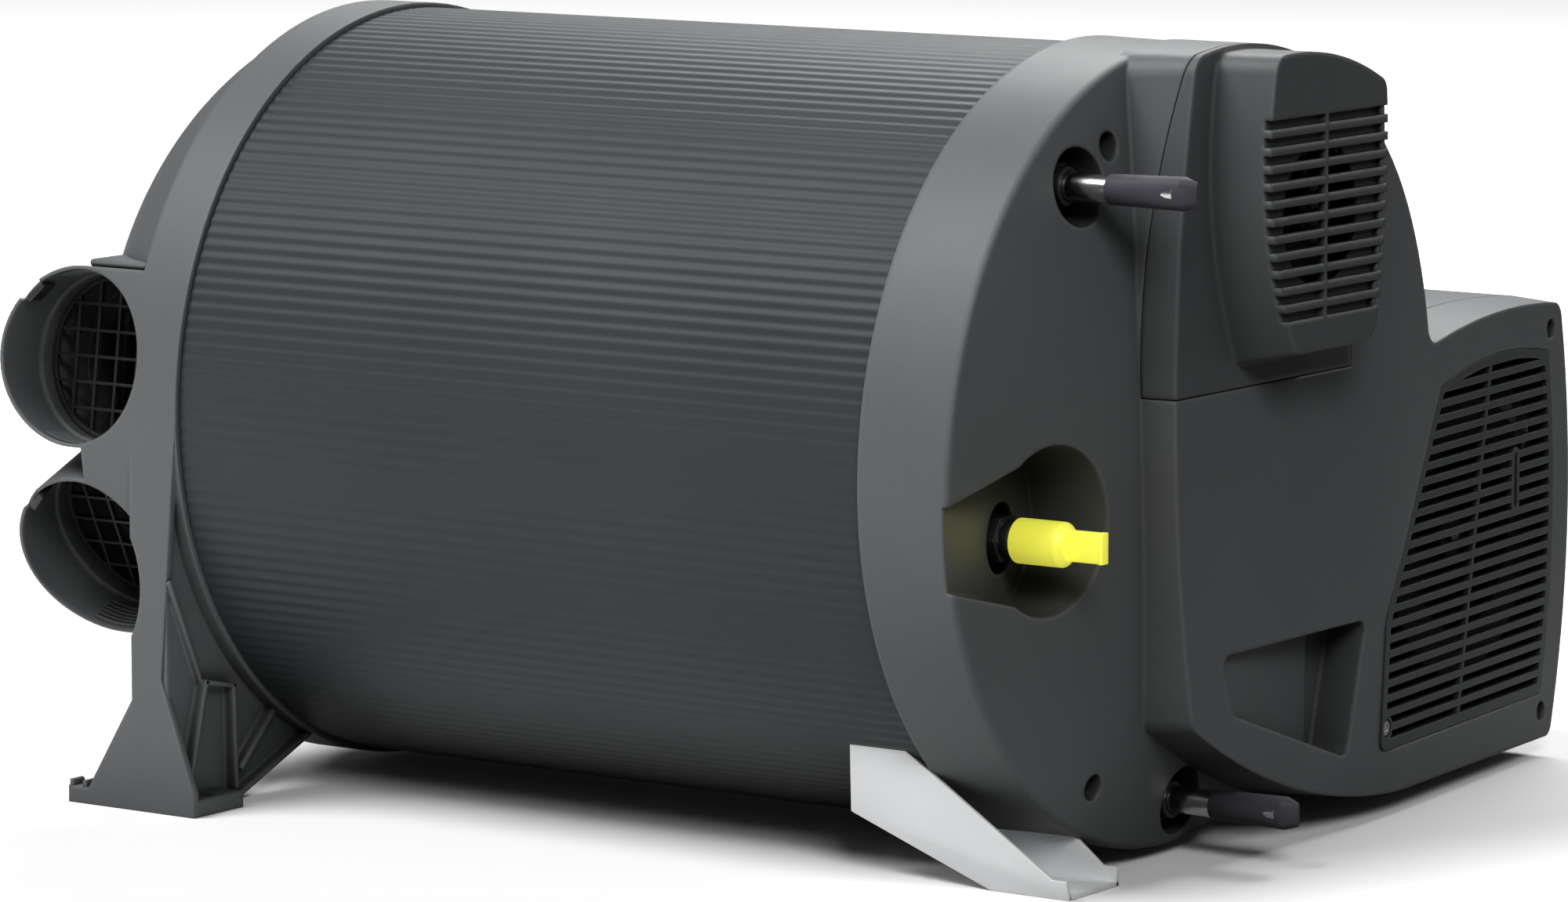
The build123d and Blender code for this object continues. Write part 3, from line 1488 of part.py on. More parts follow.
def pieces():
    outlet_names = ["upper_front", "lower_front", "upper_rear", "lower_rear"]
    made = {
        "air_end_housing": air_end_housing(),
        "ribbed_shell": ribbed_shell(),
        "insulation_sleeve": insulation_sleeve(),
        "water_tank": water_tank(),
        "tank_temperature_sensor": tank_temperature_sensor(),
        "heat_exchanger": heat_exchanger(),
        "carrier_disc": carrier_disc(),
        "burner": burner(),
        "ignition_electrode": ignition_electrode(),
        "combustion_fan_housing": combustion_fan_housing(),
        "combustion_fan_wheel": combustion_fan_wheel(),
        "combustion_fan_motor": combustion_fan_motor(),
        "exhaust_pipe": exhaust_pipe(),
        "combustion_air_duct": combustion_air_duct(),
        "flue_adapter": flue_adapter(),
        "connection_end_housing": connection_end_housing(),
        "fan_box_rear_shell": fan_box_rear_shell(),
        "electronics_cover": electronics_cover(),
        "cooling_fan_frame": cooling_fan_frame(),
        "cooling_fan_rotor": cooling_fan_rotor(),
        "control_board": control_board(),
        "plug_sockets": plug_sockets(),
        "intake_grille": intake_grille(),
        "grille_screw": grille_screw(),
        "blower_scroll": blower_scroll(),
        "blower_wheel": blower_wheel(),
        "blower_motor": blower_motor(),
        "hot_water_pipe": water_pipe(hot_well_y, hot_well_z, hot_port()),
        "cold_water_pipe": water_pipe(cold_well_y, cold_well_z, cold_port()),
        "hot_water_cap": water_cap(hot_well_y, hot_well_z),
        "cold_water_cap": water_cap(cold_well_y, cold_well_z),
        "gas_tube": gas_tube(),
        "gas_clip": gas_clip(),
        "gas_cap": gas_cap(),
        "gas_valve": gas_valve(),
        "gas_feed_tube": gas_feed_tube(),
        "mounting_bracket": mounting_bracket(),
        "end_housing_screws": end_housing_screws(),
        "fan_box_screws": fan_box_screws(),
    }
    for name, (angle, side) in zip(outlet_names, outlet_angles()):
        made[name + "_outlet_grid"] = outlet_grid(angle, side)
    return made


def footprint_shift():
    # From the drum axis to the middle of the footprint, with the feet on Z zero.
    low_x = outlet_x - outlet_radius
    middle_x = (low_x + cap_tip_x) / 2
    middle_y = (flue_tip_y - rim_radius) / 2
    return Pos(-middle_x, -middle_y, -floor_z)


os.makedirs("parts", exist_ok=True)
shift = footprint_shift()
for name, shape in pieces().items():
    export_step(shift * shape, "parts/" + name + ".step")
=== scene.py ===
import bpy
import bmesh
import json
import math
from mathutils import Matrix, Vector


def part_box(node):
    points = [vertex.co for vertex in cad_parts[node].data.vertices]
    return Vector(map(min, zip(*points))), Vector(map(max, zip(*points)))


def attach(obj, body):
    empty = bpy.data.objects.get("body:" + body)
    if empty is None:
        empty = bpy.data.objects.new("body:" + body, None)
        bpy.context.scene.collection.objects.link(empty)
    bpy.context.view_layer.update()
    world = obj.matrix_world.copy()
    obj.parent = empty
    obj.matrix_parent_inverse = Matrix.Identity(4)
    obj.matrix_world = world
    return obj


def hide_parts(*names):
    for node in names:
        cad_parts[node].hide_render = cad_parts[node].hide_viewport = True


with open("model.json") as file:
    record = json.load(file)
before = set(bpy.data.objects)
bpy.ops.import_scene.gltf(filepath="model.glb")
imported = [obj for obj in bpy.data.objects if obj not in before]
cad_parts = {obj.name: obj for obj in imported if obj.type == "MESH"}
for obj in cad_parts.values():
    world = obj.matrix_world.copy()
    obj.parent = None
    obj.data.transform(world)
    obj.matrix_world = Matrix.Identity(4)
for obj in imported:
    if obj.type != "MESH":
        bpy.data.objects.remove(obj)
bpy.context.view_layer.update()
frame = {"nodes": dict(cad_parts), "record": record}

nodes = frame["nodes"]
mm = 0.001
touch = 1e-5                                      # metres within which two places are the same
facing = 0.9                                      # cosine above which a face looks the asked way
drumShift = Vector((154.75, -75.4, 153.9))        # drum axis start inside the frame, in mm


def drumPoint(x, y, z):
    return (Vector((x, y, z)) + drumShift) * mm


# Camera.

cameraLook = {
    "place": (1.50263718, -2.21920181, 0.49612256),
    "right": (0.82229658, 0.56905816, 0.00107146),
    "up": (-0.07817664, 0.11110086, 0.99072953),
    "back": (0.56366369, -0.81475727, 0.13584492),
    "lens": 157.7008,
    "sensor": 36.0,
    "clip": (0.1, 60.0),
}


def addCamera(look):
    data = bpy.data.cameras.new("photoCamera")
    data.lens = look["lens"]
    data.sensor_width = look["sensor"]
    data.clip_start, data.clip_end = look["clip"]
    camera = bpy.data.objects.new("photoCamera", data)
    bpy.context.scene.collection.objects.link(camera)
    turn = Matrix((look["right"], look["up"], look["back"])).transposed()
    camera.matrix_world = Matrix.Translation(look["place"]) @ turn.to_4x4()
    bpy.context.scene.camera = camera


addCamera(cameraLook)
bpy.context.scene.view_settings.view_transform = "Standard"
print("camera set")


# Studio.

studio = {
    "floorSize": 60.0,
    "floorTone": (0.95, 0.95, 0.95, 1.0),
    "floorRoughness": 0.85,
    "floorShine": 0.2,
    "bounce": {"bright": 0.78, "dim": 0.05, "from": 0.04, "to": 0.36},
    "skyTone": (1.0, 1.0, 1.0, 1.0),
    "skyPower": 0.09,
    "skyShown": 0.94,
    "sun": {"from": (-0.34, -0.46, 0.82), "power": 2.8, "angle": 30.0, "away": 4.0},
    "lights": [
        {"name": "rearRim", "at": (-0.6, 2.4, 2.6), "aim": (0, 0, 0.2), "size": (3.0, 1.0),
         "power": 118.0},
        {"name": "rightFill", "at": (2.3, -2.3, 2.2), "aim": (0.2, 0, 0.25), "size": (1.2, 1.2),
         "power": 64.0},
    ],
}


def addFloor(look):
    bpy.ops.object.select_all(action="DESELECT")
    bpy.ops.mesh.primitive_plane_add(size=look["floorSize"], location=(0, 0, 0))
    floor = bpy.context.object
    floor.name = "studioFloor"
    paint = bpy.data.materials.new("paperFloor")
    paint.use_nodes = True
    tree = paint.node_tree
    skin = tree.nodes["Principled BSDF"]
    skin.inputs["Base Color"].default_value = look["floorTone"]
    skin.inputs["Roughness"].default_value = look["floorRoughness"]
    skin.inputs["Specular IOR Level"].default_value = look["floorShine"]
    dull = tree.nodes.new("ShaderNodeBsdfDiffuse")     # what the floor throws back on the part
    place = tree.nodes.new("ShaderNodeTexCoord")
    split = tree.nodes.new("ShaderNodeSeparateXYZ")
    fade = tree.nodes.new("ShaderNodeMapRange")
    fade.inputs["From Min"].default_value = look["bounce"]["from"]
    fade.inputs["From Max"].default_value = look["bounce"]["to"]
    fade.inputs["To Min"].default_value = look["bounce"]["bright"]
    fade.inputs["To Max"].default_value = look["bounce"]["dim"]
    tree.links.new(place.outputs["Object"], split.inputs["Vector"])
    tree.links.new(split.outputs["X"], fade.inputs["Value"])
    tree.links.new(fade.outputs["Result"], dull.inputs["Color"])
    path = tree.nodes.new("ShaderNodeLightPath")
    mix = tree.nodes.new("ShaderNodeMixShader")
    tree.links.new(path.outputs["Is Camera Ray"], mix.inputs["Fac"])
    tree.links.new(dull.outputs["BSDF"], mix.inputs[1])
    tree.links.new(skin.outputs["BSDF"], mix.inputs[2])
    tree.links.new(mix.outputs["Shader"], tree.nodes["Material Output"].inputs["Surface"])
    floor.data.materials.append(paint)


def addAir(look):
    world = bpy.data.worlds.new("paleRoom")
    world.use_nodes = True
    air = world.node_tree.nodes["Background"]
    air.inputs["Color"].default_value = look["skyTone"]
    seen = world.node_tree.nodes.new("ShaderNodeLightPath")      # pale to look at, dim as a light
    level = world.node_tree.nodes.new("ShaderNodeMapRange")
    level.inputs["To Min"].default_value = look["skyPower"]
    level.inputs["To Max"].default_value = look["skyShown"]
    world.node_tree.links.new(seen.outputs["Is Camera Ray"], level.inputs["Value"])
    world.node_tree.links.new(level.outputs["Result"], air.inputs["Strength"])
    bpy.context.scene.world = world


def addLights(look):
    sunData = bpy.data.lights.new("keySun", "SUN")
    sunData.energy = look["sun"]["power"]
    sunData.angle = math.radians(look["sun"]["angle"])
    sun = bpy.data.objects.new("keySun", sunData)
    sun.rotation_mode = "QUATERNION"
    sun.rotation_quaternion = (-Vector(look["sun"]["from"])).to_track_quat("-Z", "Y")
    sun.location = Vector(look["sun"]["from"]) * look["sun"]["away"]
    bpy.context.scene.collection.objects.link(sun)
    for lamp in look["lights"]:
        data = bpy.data.lights.new(lamp["name"], "AREA")
        data.shape = "RECTANGLE"
        data.size, data.size_y = lamp["size"]
        data.energy = lamp["power"]
        light = bpy.data.objects.new(lamp["name"], data)
        light.visible_camera = False
        light.location = lamp["at"]
        light.rotation_mode = "QUATERNION"
        light.rotation_quaternion = (Vector(lamp["aim"]) - Vector(lamp["at"])).to_track_quat("-Z", "Y")
        bpy.context.scene.collection.objects.link(light)


addFloor(studio)
addAir(studio)
addLights(studio)
print("studio set")


# Materials.

def newMaterial(name):
    material = bpy.data.materials.new(name)
    material.use_nodes = True
    tree = material.node_tree
    return material, tree, tree.nodes["Principled BSDF"]


def noiseFrom(tree, scale, detail, stretch=(1, 1, 1), roughness=0.55):
    place = tree.nodes.new("ShaderNodeTexCoord")
    mapping = tree.nodes.new("ShaderNodeMapping")
    mapping.inputs["Scale"].default_value = stretch
    noise = tree.nodes.new("ShaderNodeTexNoise")
    noise.inputs["Scale"].default_value = scale
    noise.inputs["Detail"].default_value = detail
    noise.inputs["Roughness"].default_value = roughness
    tree.links.new(place.outputs["Object"], mapping.inputs["Vector"])
    tree.links.new(mapping.outputs["Vector"], noise.inputs["Vector"])
    return noise.outputs["Fac"]


def rampBetween(tree, source, low, high, start=0.3, end=0.7):
    ramp = tree.nodes.new("ShaderNodeValToRGB")
    ramp.color_ramp.elements[0].position = start
    ramp.color_ramp.elements[1].position = end
    ramp.color_ramp.elements[0].color = (*low, 1.0)
    ramp.color_ramp.elements[1].color = (*high, 1.0)
    tree.links.new(source, ramp.inputs["Fac"])
    return ramp.outputs["Color"]


def rangeBetween(tree, source, low, high):
    span = tree.nodes.new("ShaderNodeMapRange")
    span.inputs["To Min"].default_value = low
    span.inputs["To Max"].default_value = high
    tree.links.new(source, span.inputs["Value"])
    return span.outputs["Result"]


def bumpFrom(tree, height, strength, distance, below=None):
    bump = tree.nodes.new("ShaderNodeBump")
    bump.inputs["Strength"].default_value = strength
    bump.inputs["Distance"].default_value = distance
    tree.links.new(height, bump.inputs["Height"])
    if below is not None:
        tree.links.new(below, bump.inputs["Normal"])
    return bump.outputs["Normal"]


def mixColours(tree, share, first, second):
    mix = tree.nodes.new("ShaderNodeMix")
    mix.data_type = "RGBA"
    tree.links.new(share, mix.inputs["Factor"])
    for index, value in ((6, first), (7, second)):
        if isinstance(value, tuple):
            mix.inputs[index].default_value = (*value, 1.0)
        else:
            tree.links.new(value, mix.inputs[index])
    return mix.outputs[2]


edgeLook = {"samples": 4, "start": 0.995, "end": 0.9}


def edgeWearAndHighlight(tree, softness, look):
    # Corners the hand rubs, lightened for wear and as a painted highlight: bright where the true normal and a
    # rounded one part.
    bevel = tree.nodes.new("ShaderNodeBevel")
    bevel.inputs["Radius"].default_value = softness
    bevel.samples = look["samples"]
    geometry = tree.nodes.new("ShaderNodeNewGeometry")
    dot = tree.nodes.new("ShaderNodeVectorMath")
    dot.operation = "DOT_PRODUCT"
    tree.links.new(bevel.outputs["Normal"], dot.inputs[0])
    tree.links.new(geometry.outputs["Normal"], dot.inputs[1])
    span = tree.nodes.new("ShaderNodeMapRange")
    span.inputs["From Min"].default_value = look["start"]
    span.inputs["From Max"].default_value = look["end"]
    tree.links.new(dot.outputs["Value"], span.inputs["Value"])
    return span.outputs["Result"], bevel.outputs["Normal"]


plasticSkin = {
    "cloudDetail": 3, "dustScale": 2.6, "dustDetail": 4, "grainDetail": 2, "grainRoughness": 0.7,
    # The near-black tone and the occlusion settings here give the painted shade in recesses.
    "grainHeight": 0.0004, "deep": (0.004, 0.004, 0.004),
    "paintedShade": {"samples": 4, "distance": 0.07, "from": 0.2, "to": 0.78, "least": 0.12},
}


def paintedRecessShade(tree, look):
    # Painted shade: how open a place is, by ambient occlusion; the colour is darkened in recesses and
    # pockets, where shade falls.
    paintedShade = tree.nodes.new("ShaderNodeAmbientOcclusion")
    paintedShade.samples = look["samples"]
    paintedShade.inputs["Distance"].default_value = look["distance"]
    unshadedShare = tree.nodes.new("ShaderNodeMapRange")
    unshadedShare.inputs["From Min"].default_value = look["from"]
    unshadedShare.inputs["From Max"].default_value = look["to"]
    unshadedShare.inputs["To Min"].default_value = look["least"]
    tree.links.new(paintedShade.outputs["AO"], unshadedShare.inputs["Value"])
    return unshadedShare.outputs["Result"]


def mouldedPlastic(look, common):
    # Grained injection moulding: cloudy tone, spark-eroded grain, rubbed edges lightened also as a painted
    # highlight, and painted shade in recesses.
    material, tree, skin = newMaterial(look["name"])
    cloud = noiseFrom(tree, look["cloudScale"], common["cloudDetail"])
    tone = rampBetween(tree, cloud, look["dark"], look["light"])
    wornAndHighlitEdge, softNormal = edgeWearAndHighlight(tree, look["edgeRound"], edgeLook)
    # Edges lightened: partly wear, partly a painted highlight.
    colour = mixColours(tree, rangeBetween(tree, wornAndHighlitEdge, 0.0, look["wearAndHighlight"]), tone, look["rubbedAndHighlitTone"])
    # Painted shade: the colour goes to the shade tone in recesses.
    shaded = mixColours(tree, paintedRecessShade(tree, common["paintedShade"]), look.get("deep", common["deep"]), colour)
    tree.links.new(shaded, skin.inputs["Base Color"])
    dust = noiseFrom(tree, look["cloudScale"] * common["dustScale"], common["dustDetail"])
    tree.links.new(rangeBetween(tree, dust, *look["gloss"]), skin.inputs["Roughness"])
    grain = noiseFrom(tree, look["grainScale"], common["grainDetail"], roughness=common["grainRoughness"])
    normal = bumpFrom(tree, grain, look["grainDepth"], common["grainHeight"], softNormal)
    tree.links.new(normal, skin.inputs["Normal"])
    skin.inputs["Specular IOR Level"].default_value = look["shine"]
    return material


metalSkin = {"lineDetail": 3, "cloudDetail": 3, "lineHeight": 0.0003, "metal": 1.0}


def brushedMetal(look, common):
    # Drawn or cast metal: fine lines in its gloss over a slow change of tone.
    material, tree, skin = newMaterial(look["name"])
    lines = noiseFrom(tree, look["lineScale"], common["lineDetail"], look["stretch"])
    cloud = noiseFrom(tree, look["cloudScale"], common["cloudDetail"])
    tone = rampBetween(tree, cloud, look["dark"], look["light"])
    tree.links.new(tone, skin.inputs["Base Color"])
    tree.links.new(rangeBetween(tree, lines, *look["gloss"]), skin.inputs["Roughness"])
    softNormal = edgeWearAndHighlight(tree, look["edgeRound"], edgeLook)[1]
    tree.links.new(bumpFrom(tree, lines, look["lineDepth"], common["lineHeight"], softNormal),
                   skin.inputs["Normal"])
    skin.inputs["Metallic"].default_value = look.get("metal", common["metal"])
    return material


plasticLooks = {
    # The rubbed tone and wear amount lighten edges: partly wear, partly a painted highlight.
    "housing_plastic": {"name": "housingPlastic", "dark": (0.092, 0.098, 0.102),
                        "light": (0.105, 0.111, 0.115),
                        "rubbedAndHighlitTone": (0.20, 0.205, 0.21), "wearAndHighlight": 0.45, "edgeRound": 0.0024, "cloudScale": 9.0,
                        "grainScale": 2600.0, "grainDepth": 0.22, "gloss": (0.44, 0.54), "shine": 0.42},
    "ribbed_plastic": {"name": "ribbedPlastic", "dark": (0.026, 0.031, 0.034), "light": (0.032, 0.038, 0.041),
                       "rubbedAndHighlitTone": (0.06, 0.068, 0.072), "wearAndHighlight": 0.2, "edgeRound": 0.0004, "cloudScale": 7.0,
                       "grainScale": 2200.0, "grainDepth": 0.14, "gloss": (0.44, 0.54), "shine": 0.30},
    # The cover's tone is set darker than the housing's: painted shade on the cover's faces turned from the
    # light.
    "cover_plastic": {"name": "coverPlastic", "dark": (0.070, 0.074, 0.077), "light": (0.081, 0.085, 0.088),
                      "rubbedAndHighlitTone": (0.17, 0.175, 0.18), "wearAndHighlight": 0.45, "edgeRound": 0.0028, "cloudScale": 10.0,
                      "grainScale": 2600.0, "grainDepth": 0.22, "gloss": (0.44, 0.54), "shine": 0.42},
    "grille_plastic": {"name": "grillePlastic", "dark": (0.032, 0.036, 0.038), "light": (0.040, 0.044, 0.047),
                       "rubbedAndHighlitTone": (0.11, 0.115, 0.12), "wearAndHighlight": 0.3, "edgeRound": 0.0007, "cloudScale": 12.0,
                       "grainScale": 2600.0, "grainDepth": 0.18, "gloss": (0.40, 0.50), "shine": 0.42},
    "black_plastic": {"name": "blackPlastic", "dark": (0.018, 0.019, 0.020), "light": (0.026, 0.027, 0.029),
                      "rubbedAndHighlitTone": (0.06, 0.06, 0.06), "wearAndHighlight": 0.3, "edgeRound": 0.0005, "cloudScale": 14.0,
                      "grainScale": 2400.0, "grainDepth": 0.2, "gloss": (0.38, 0.52), "shine": 0.4},
    "fan_plastic": {"name": "fanPlastic", "dark": (0.012, 0.013, 0.014), "light": (0.020, 0.021, 0.022),
                    "rubbedAndHighlitTone": (0.05, 0.05, 0.05), "wearAndHighlight": 0.3, "edgeRound": 0.0004, "cloudScale": 20.0,
                    "grainScale": 1800.0, "grainDepth": 0.08, "gloss": (0.24, 0.36), "shine": 0.5},
    "grey_rubber": {"name": "greyRubber", "dark": (0.044, 0.042, 0.053), "light": (0.054, 0.051, 0.063),
                    "rubbedAndHighlitTone": (0.19, 0.18, 0.21), "wearAndHighlight": 0.5, "edgeRound": 0.0006, "cloudScale": 60.0,
                    "grainScale": 3000.0, "grainDepth": 0.25, "gloss": (0.5, 0.66), "shine": 0.35},
    "yellow_plastic": {"name": "yellowPlastic", "dark": (0.92, 0.88, 0.07), "light": (0.96, 0.94, 0.10),
                       "rubbedAndHighlitTone": (0.97, 0.90, 0.25), "wearAndHighlight": 0.6, "edgeRound": 0.0006, "cloudScale": 55.0,
                       "grainScale": 2500.0, "grainDepth": 0.08, "gloss": (0.30, 0.44), "shine": 0.45,
                       # Painted shade tone for the yellow cap's recesses.
                       "deep": (0.60, 0.56, 0.04)},
    "foam": {"name": "foamSheet", "dark": (0.20, 0.20, 0.20), "light": (0.28, 0.28, 0.28),
             "rubbedAndHighlitTone": (0.34, 0.34, 0.34), "wearAndHighlight": 0.3, "edgeRound": 0.001, "cloudScale": 30.0,
             "grainScale": 700.0, "grainDepth": 0.6, "gloss": (0.85, 0.95), "shine": 0.2},
    "board_green": {"name": "boardLacquer", "dark": (0.012, 0.070, 0.030), "light": (0.020, 0.10, 0.045),
                    "rubbedAndHighlitTone": (0.16, 0.22, 0.12), "wearAndHighlight": 0.4, "edgeRound": 0.0003, "cloudScale": 120.0,
                    "grainScale": 900.0, "grainDepth": 0.1, "gloss": (0.25, 0.38), "shine": 0.5},
    "ceramic": {"name": "glazedCeramic", "dark": (0.70, 0.68, 0.62), "light": (0.80, 0.78, 0.73),
                "rubbedAndHighlitTone": (0.9, 0.9, 0.88), "wearAndHighlight": 0.2, "edgeRound": 0.0004, "cloudScale": 40.0,
                "grainScale": 600.0, "grainDepth": 0.05, "gloss": (0.12, 0.2), "shine": 0.55},
}

metalLooks = {
    "bracket_aluminium": {"name": "bracketAluminium", "dark": (0.86, 0.87, 0.88), "light": (0.94, 0.95, 0.96),
                          "lineScale": 60.0, "stretch": (2.0, 30.0, 30.0), "lineDepth": 0.10,
                          "cloudScale": 18.0, "gloss": (0.42, 0.58), "edgeRound": 0.0004, "metal": 0.35},
    "cast_aluminium": {"name": "castAluminium", "dark": (0.55, 0.55, 0.56), "light": (0.68, 0.68, 0.69),
                       "lineScale": 900.0, "stretch": (1.0, 1.0, 1.0), "lineDepth": 0.45, "cloudScale": 40.0,
                       "gloss": (0.42, 0.60), "edgeRound": 0.0007},
    "tank_steel": {"name": "tankSteel", "dark": (0.52, 0.52, 0.52), "light": (0.62, 0.62, 0.62),
                   "lineScale": 50.0, "stretch": (2.0, 30.0, 30.0), "lineDepth": 0.12, "cloudScale": 12.0,
                   "gloss": (0.24, 0.36), "edgeRound": 0.0006},
    "pipe_steel": {"name": "pipeSteel", "dark": (0.66, 0.65, 0.63), "light": (0.78, 0.77, 0.75),
                   "lineScale": 160.0, "stretch": (3.0, 40.0, 40.0), "lineDepth": 0.08, "cloudScale": 50.0,
                   "gloss": (0.14, 0.26), "edgeRound": 0.0004},
    "screw_steel": {"name": "screwSteel", "dark": (0.50, 0.50, 0.51), "light": (0.66, 0.66, 0.67),
                    "lineScale": 700.0, "stretch": (1.0, 1.0, 1.0), "lineDepth": 0.12, "cloudScale": 90.0,
                    "gloss": (0.22, 0.34), "edgeRound": 0.0003},
    "brass_fitting": {"name": "brassFitting", "dark": (0.62, 0.46, 0.20), "light": (0.74, 0.57, 0.27),
                      "lineScale": 400.0, "stretch": (1.0, 8.0, 8.0), "lineDepth": 0.12, "cloudScale": 60.0,
                      "gloss": (0.2, 0.34), "edgeRound": 0.0004},
}


def addPaintedGlow(material, look):
    # Painted light: emission that makes bright plastic glow, though it is no lamp.
    skin = material.node_tree.nodes["Principled BSDF"]
    skin.inputs["Emission Color"].default_value = look["tone"]
    skin.inputs["Emission Strength"].default_value = look["power"]


paints = {}
for slotName, look in plasticLooks.items():
    paints[slotName] = mouldedPlastic(look, plasticSkin)
for slotName, look in metalLooks.items():
    paints[slotName] = brushedMetal(look, metalSkin)

# Painted light: the yellow cap glows so that it looks brighter.
yellowPaintedGlow = {"tone": (0.95, 0.93, 0.10, 1.0), "power": 0.46}
addPaintedGlow(paints["yellow_plastic"], yellowPaintedGlow)

for part in frame["record"]["subparts"]:
    shown = nodes[part["node"]]
    shown.data.materials.clear()
    shown.data.materials.append(paints[part["material_slot"]])
print("materials set")


# Modelling helpers.

def deselectAll():
    bpy.ops.object.select_all(action="DESELECT")


def openMesh(piece):
    deselectAll()
    piece.select_set(True)
    bpy.context.view_layer.objects.active = piece
    bpy.ops.object.mode_set(mode="EDIT")
    bpy.ops.mesh.select_all(action="DESELECT")


def closeMesh():
    bpy.ops.object.mode_set(mode="OBJECT")


def pickFaces(piece, wanted):
    # Selects the faces whose middle and normal pass the test.
    bpy.ops.mesh.select_mode(type="FACE")
    bpy.ops.mesh.select_all(action="DESELECT")
    shape = bmesh.from_edit_mesh(piece.data)
    for face in shape.faces:
        face.select_set(bool(wanted(face.calc_center_median(), face.normal)))
    bmesh.update_edit_mesh(piece.data)


def pickPoints(piece, wanted):
    bpy.ops.mesh.select_mode(type="VERT")
    bpy.ops.mesh.select_all(action="DESELECT")
    shape = bmesh.from_edit_mesh(piece.data)
    for point in shape.verts:
        point.select_set(bool(wanted(point.co)))
    bmesh.update_edit_mesh(piece.data)


def extrudeBy(*shift):
    # Pulls the picked faces out along this vector, in metres.
    bpy.ops.mesh.extrude_region_move(TRANSFORM_OT_translate={"value": shift})


def applyAll(piece):
    deselectAll()
    piece.select_set(True)
    bpy.context.view_layer.objects.active = piece
    bpy.ops.object.transform_apply(location=True, rotation=True, scale=True)


def applyModifiers(piece):
    deselectAll()
    piece.select_set(True)
    bpy.context.view_layer.objects.active = piece
    for modifier in list(piece.modifiers):
        bpy.ops.object.modifier_apply(modifier=modifier.name)


def softenEdges(piece, width, segments, angle):
    bevel = piece.modifiers.new("edges", "BEVEL")
    bevel.width = width
    bevel.segments = segments
    bevel.limit_method = "ANGLE"
    bevel.angle_limit = math.radians(angle)
    bevel.use_clamp_overlap = True
    applyModifiers(piece)


def finishPiece(piece, name, slotName, body="root", angle=35, replaced=()):
    applyAll(piece)
    openMesh(piece)
    bpy.ops.mesh.select_all(action="SELECT")
    bpy.ops.mesh.normals_make_consistent(inside=False)
    closeMesh()
    bpy.ops.object.shade_smooth_by_angle(angle=math.radians(angle))
    piece.name = name
    piece.data.materials.clear()
    piece.data.materials.append(paints[slotName])
    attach(piece, body)
    if replaced:
        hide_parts(*replaced)
    return piece


def joinPieces(pieces):
    deselectAll()
    for piece in pieces:
        piece.select_set(True)
    bpy.context.view_layer.objects.active = pieces[0]
    bpy.ops.object.join()
    return bpy.context.object


def addRound(place, radius, length, points, ends="NGON", lean=(0, math.pi / 2, 0), tip=None):
    # A cylinder, or a cone if tip is given, along X unless lean says otherwise. place is its middle.
    deselectAll()
    if tip is None:
        bpy.ops.mesh.primitive_cylinder_add(vertices=points, radius=radius, depth=length,
                                            end_fill_type=ends, location=place, rotation=lean)
    else:
        bpy.ops.mesh.primitive_cone_add(vertices=points, radius1=radius, radius2=tip, depth=length,
                                        end_fill_type=ends, location=place, rotation=lean)
    piece = bpy.context.object
    applyAll(piece)
    return piece


def addBlock(low, high):
    deselectAll()
    middle = (Vector(low) + Vector(high)) / 2
    bpy.ops.mesh.primitive_cube_add(size=1, location=middle)
    piece = bpy.context.object
    piece.dimensions = Vector(high) - Vector(low)
    applyAll(piece)
    return piece


# Ribbed drum.

drum = {
    "start": -313.0, "end": 0.0, "radius": 147.3, "ribs": 185, "depth": 0.34, "pointsPerRib": 8,
    "wall": 2.2,
}


def addDrum(look):
    # A tube whose points are drawn in ring by ring, so that rounded ribs run along it.
    points = look["ribs"] * look["pointsPerRib"]
    middle = drumPoint((look["start"] + look["end"]) / 2, 0, 0)
    drumSkin = addRound(middle, look["radius"] * mm, (look["end"] - look["start"]) * mm, points=points,
                        ends="NOTHING")
    axis = drumPoint(0, 0, 0)
    step = 2 * math.pi / look["ribs"]
    openMesh(drumSkin)
    for level in range(1, look["pointsPerRib"] // 2 + 1):
        share = level / (look["pointsPerRib"] // 2)
        sunk = (1 - math.cos(share * math.pi)) / 2 * look["depth"]

        def onLevel(point):
            turn = math.atan2(point.z - axis.z, point.y - axis.y) % step / step
            away = min(turn, 1 - turn) * 2
            return abs(away - share) < 0.5 / look["pointsPerRib"]

        pickPoints(drumSkin, onLevel)
        small = (look["radius"] - sunk) / look["radius"]
        bpy.ops.transform.resize(value=(1, small, small), center_override=axis)
    closeMesh()
    wall = drumSkin.modifiers.new("wall", "SOLIDIFY")
    wall.thickness = look["wall"] * mm
    wall.offset = -1
    applyModifiers(drumSkin)
    return finishPiece(drumSkin, "ribbedDrum", "ribbed_plastic", angle=60, replaced=["ribbed_shell"])


addDrum(drum)
print("drum set")


# Water and gas caps.

rubberCap = {
    "start": 56.0, "end": 86.5, "tip": 92.0, "rootRadius": 5.6, "headRadius": 6.15,
    "flatHalf": 4.6, "flatStart": 66.0, "edge": 0.5, "bore": 5.05, "boreDepth": 14.0,
    "points": 40, "tipSquash": (1, 0.12, 0.72),
    "ends": {"hotCap": ("hot_water_cap", -71.4, 102.1), "coldCap": ("cold_water_cap", 4.1, -132.7)},
}


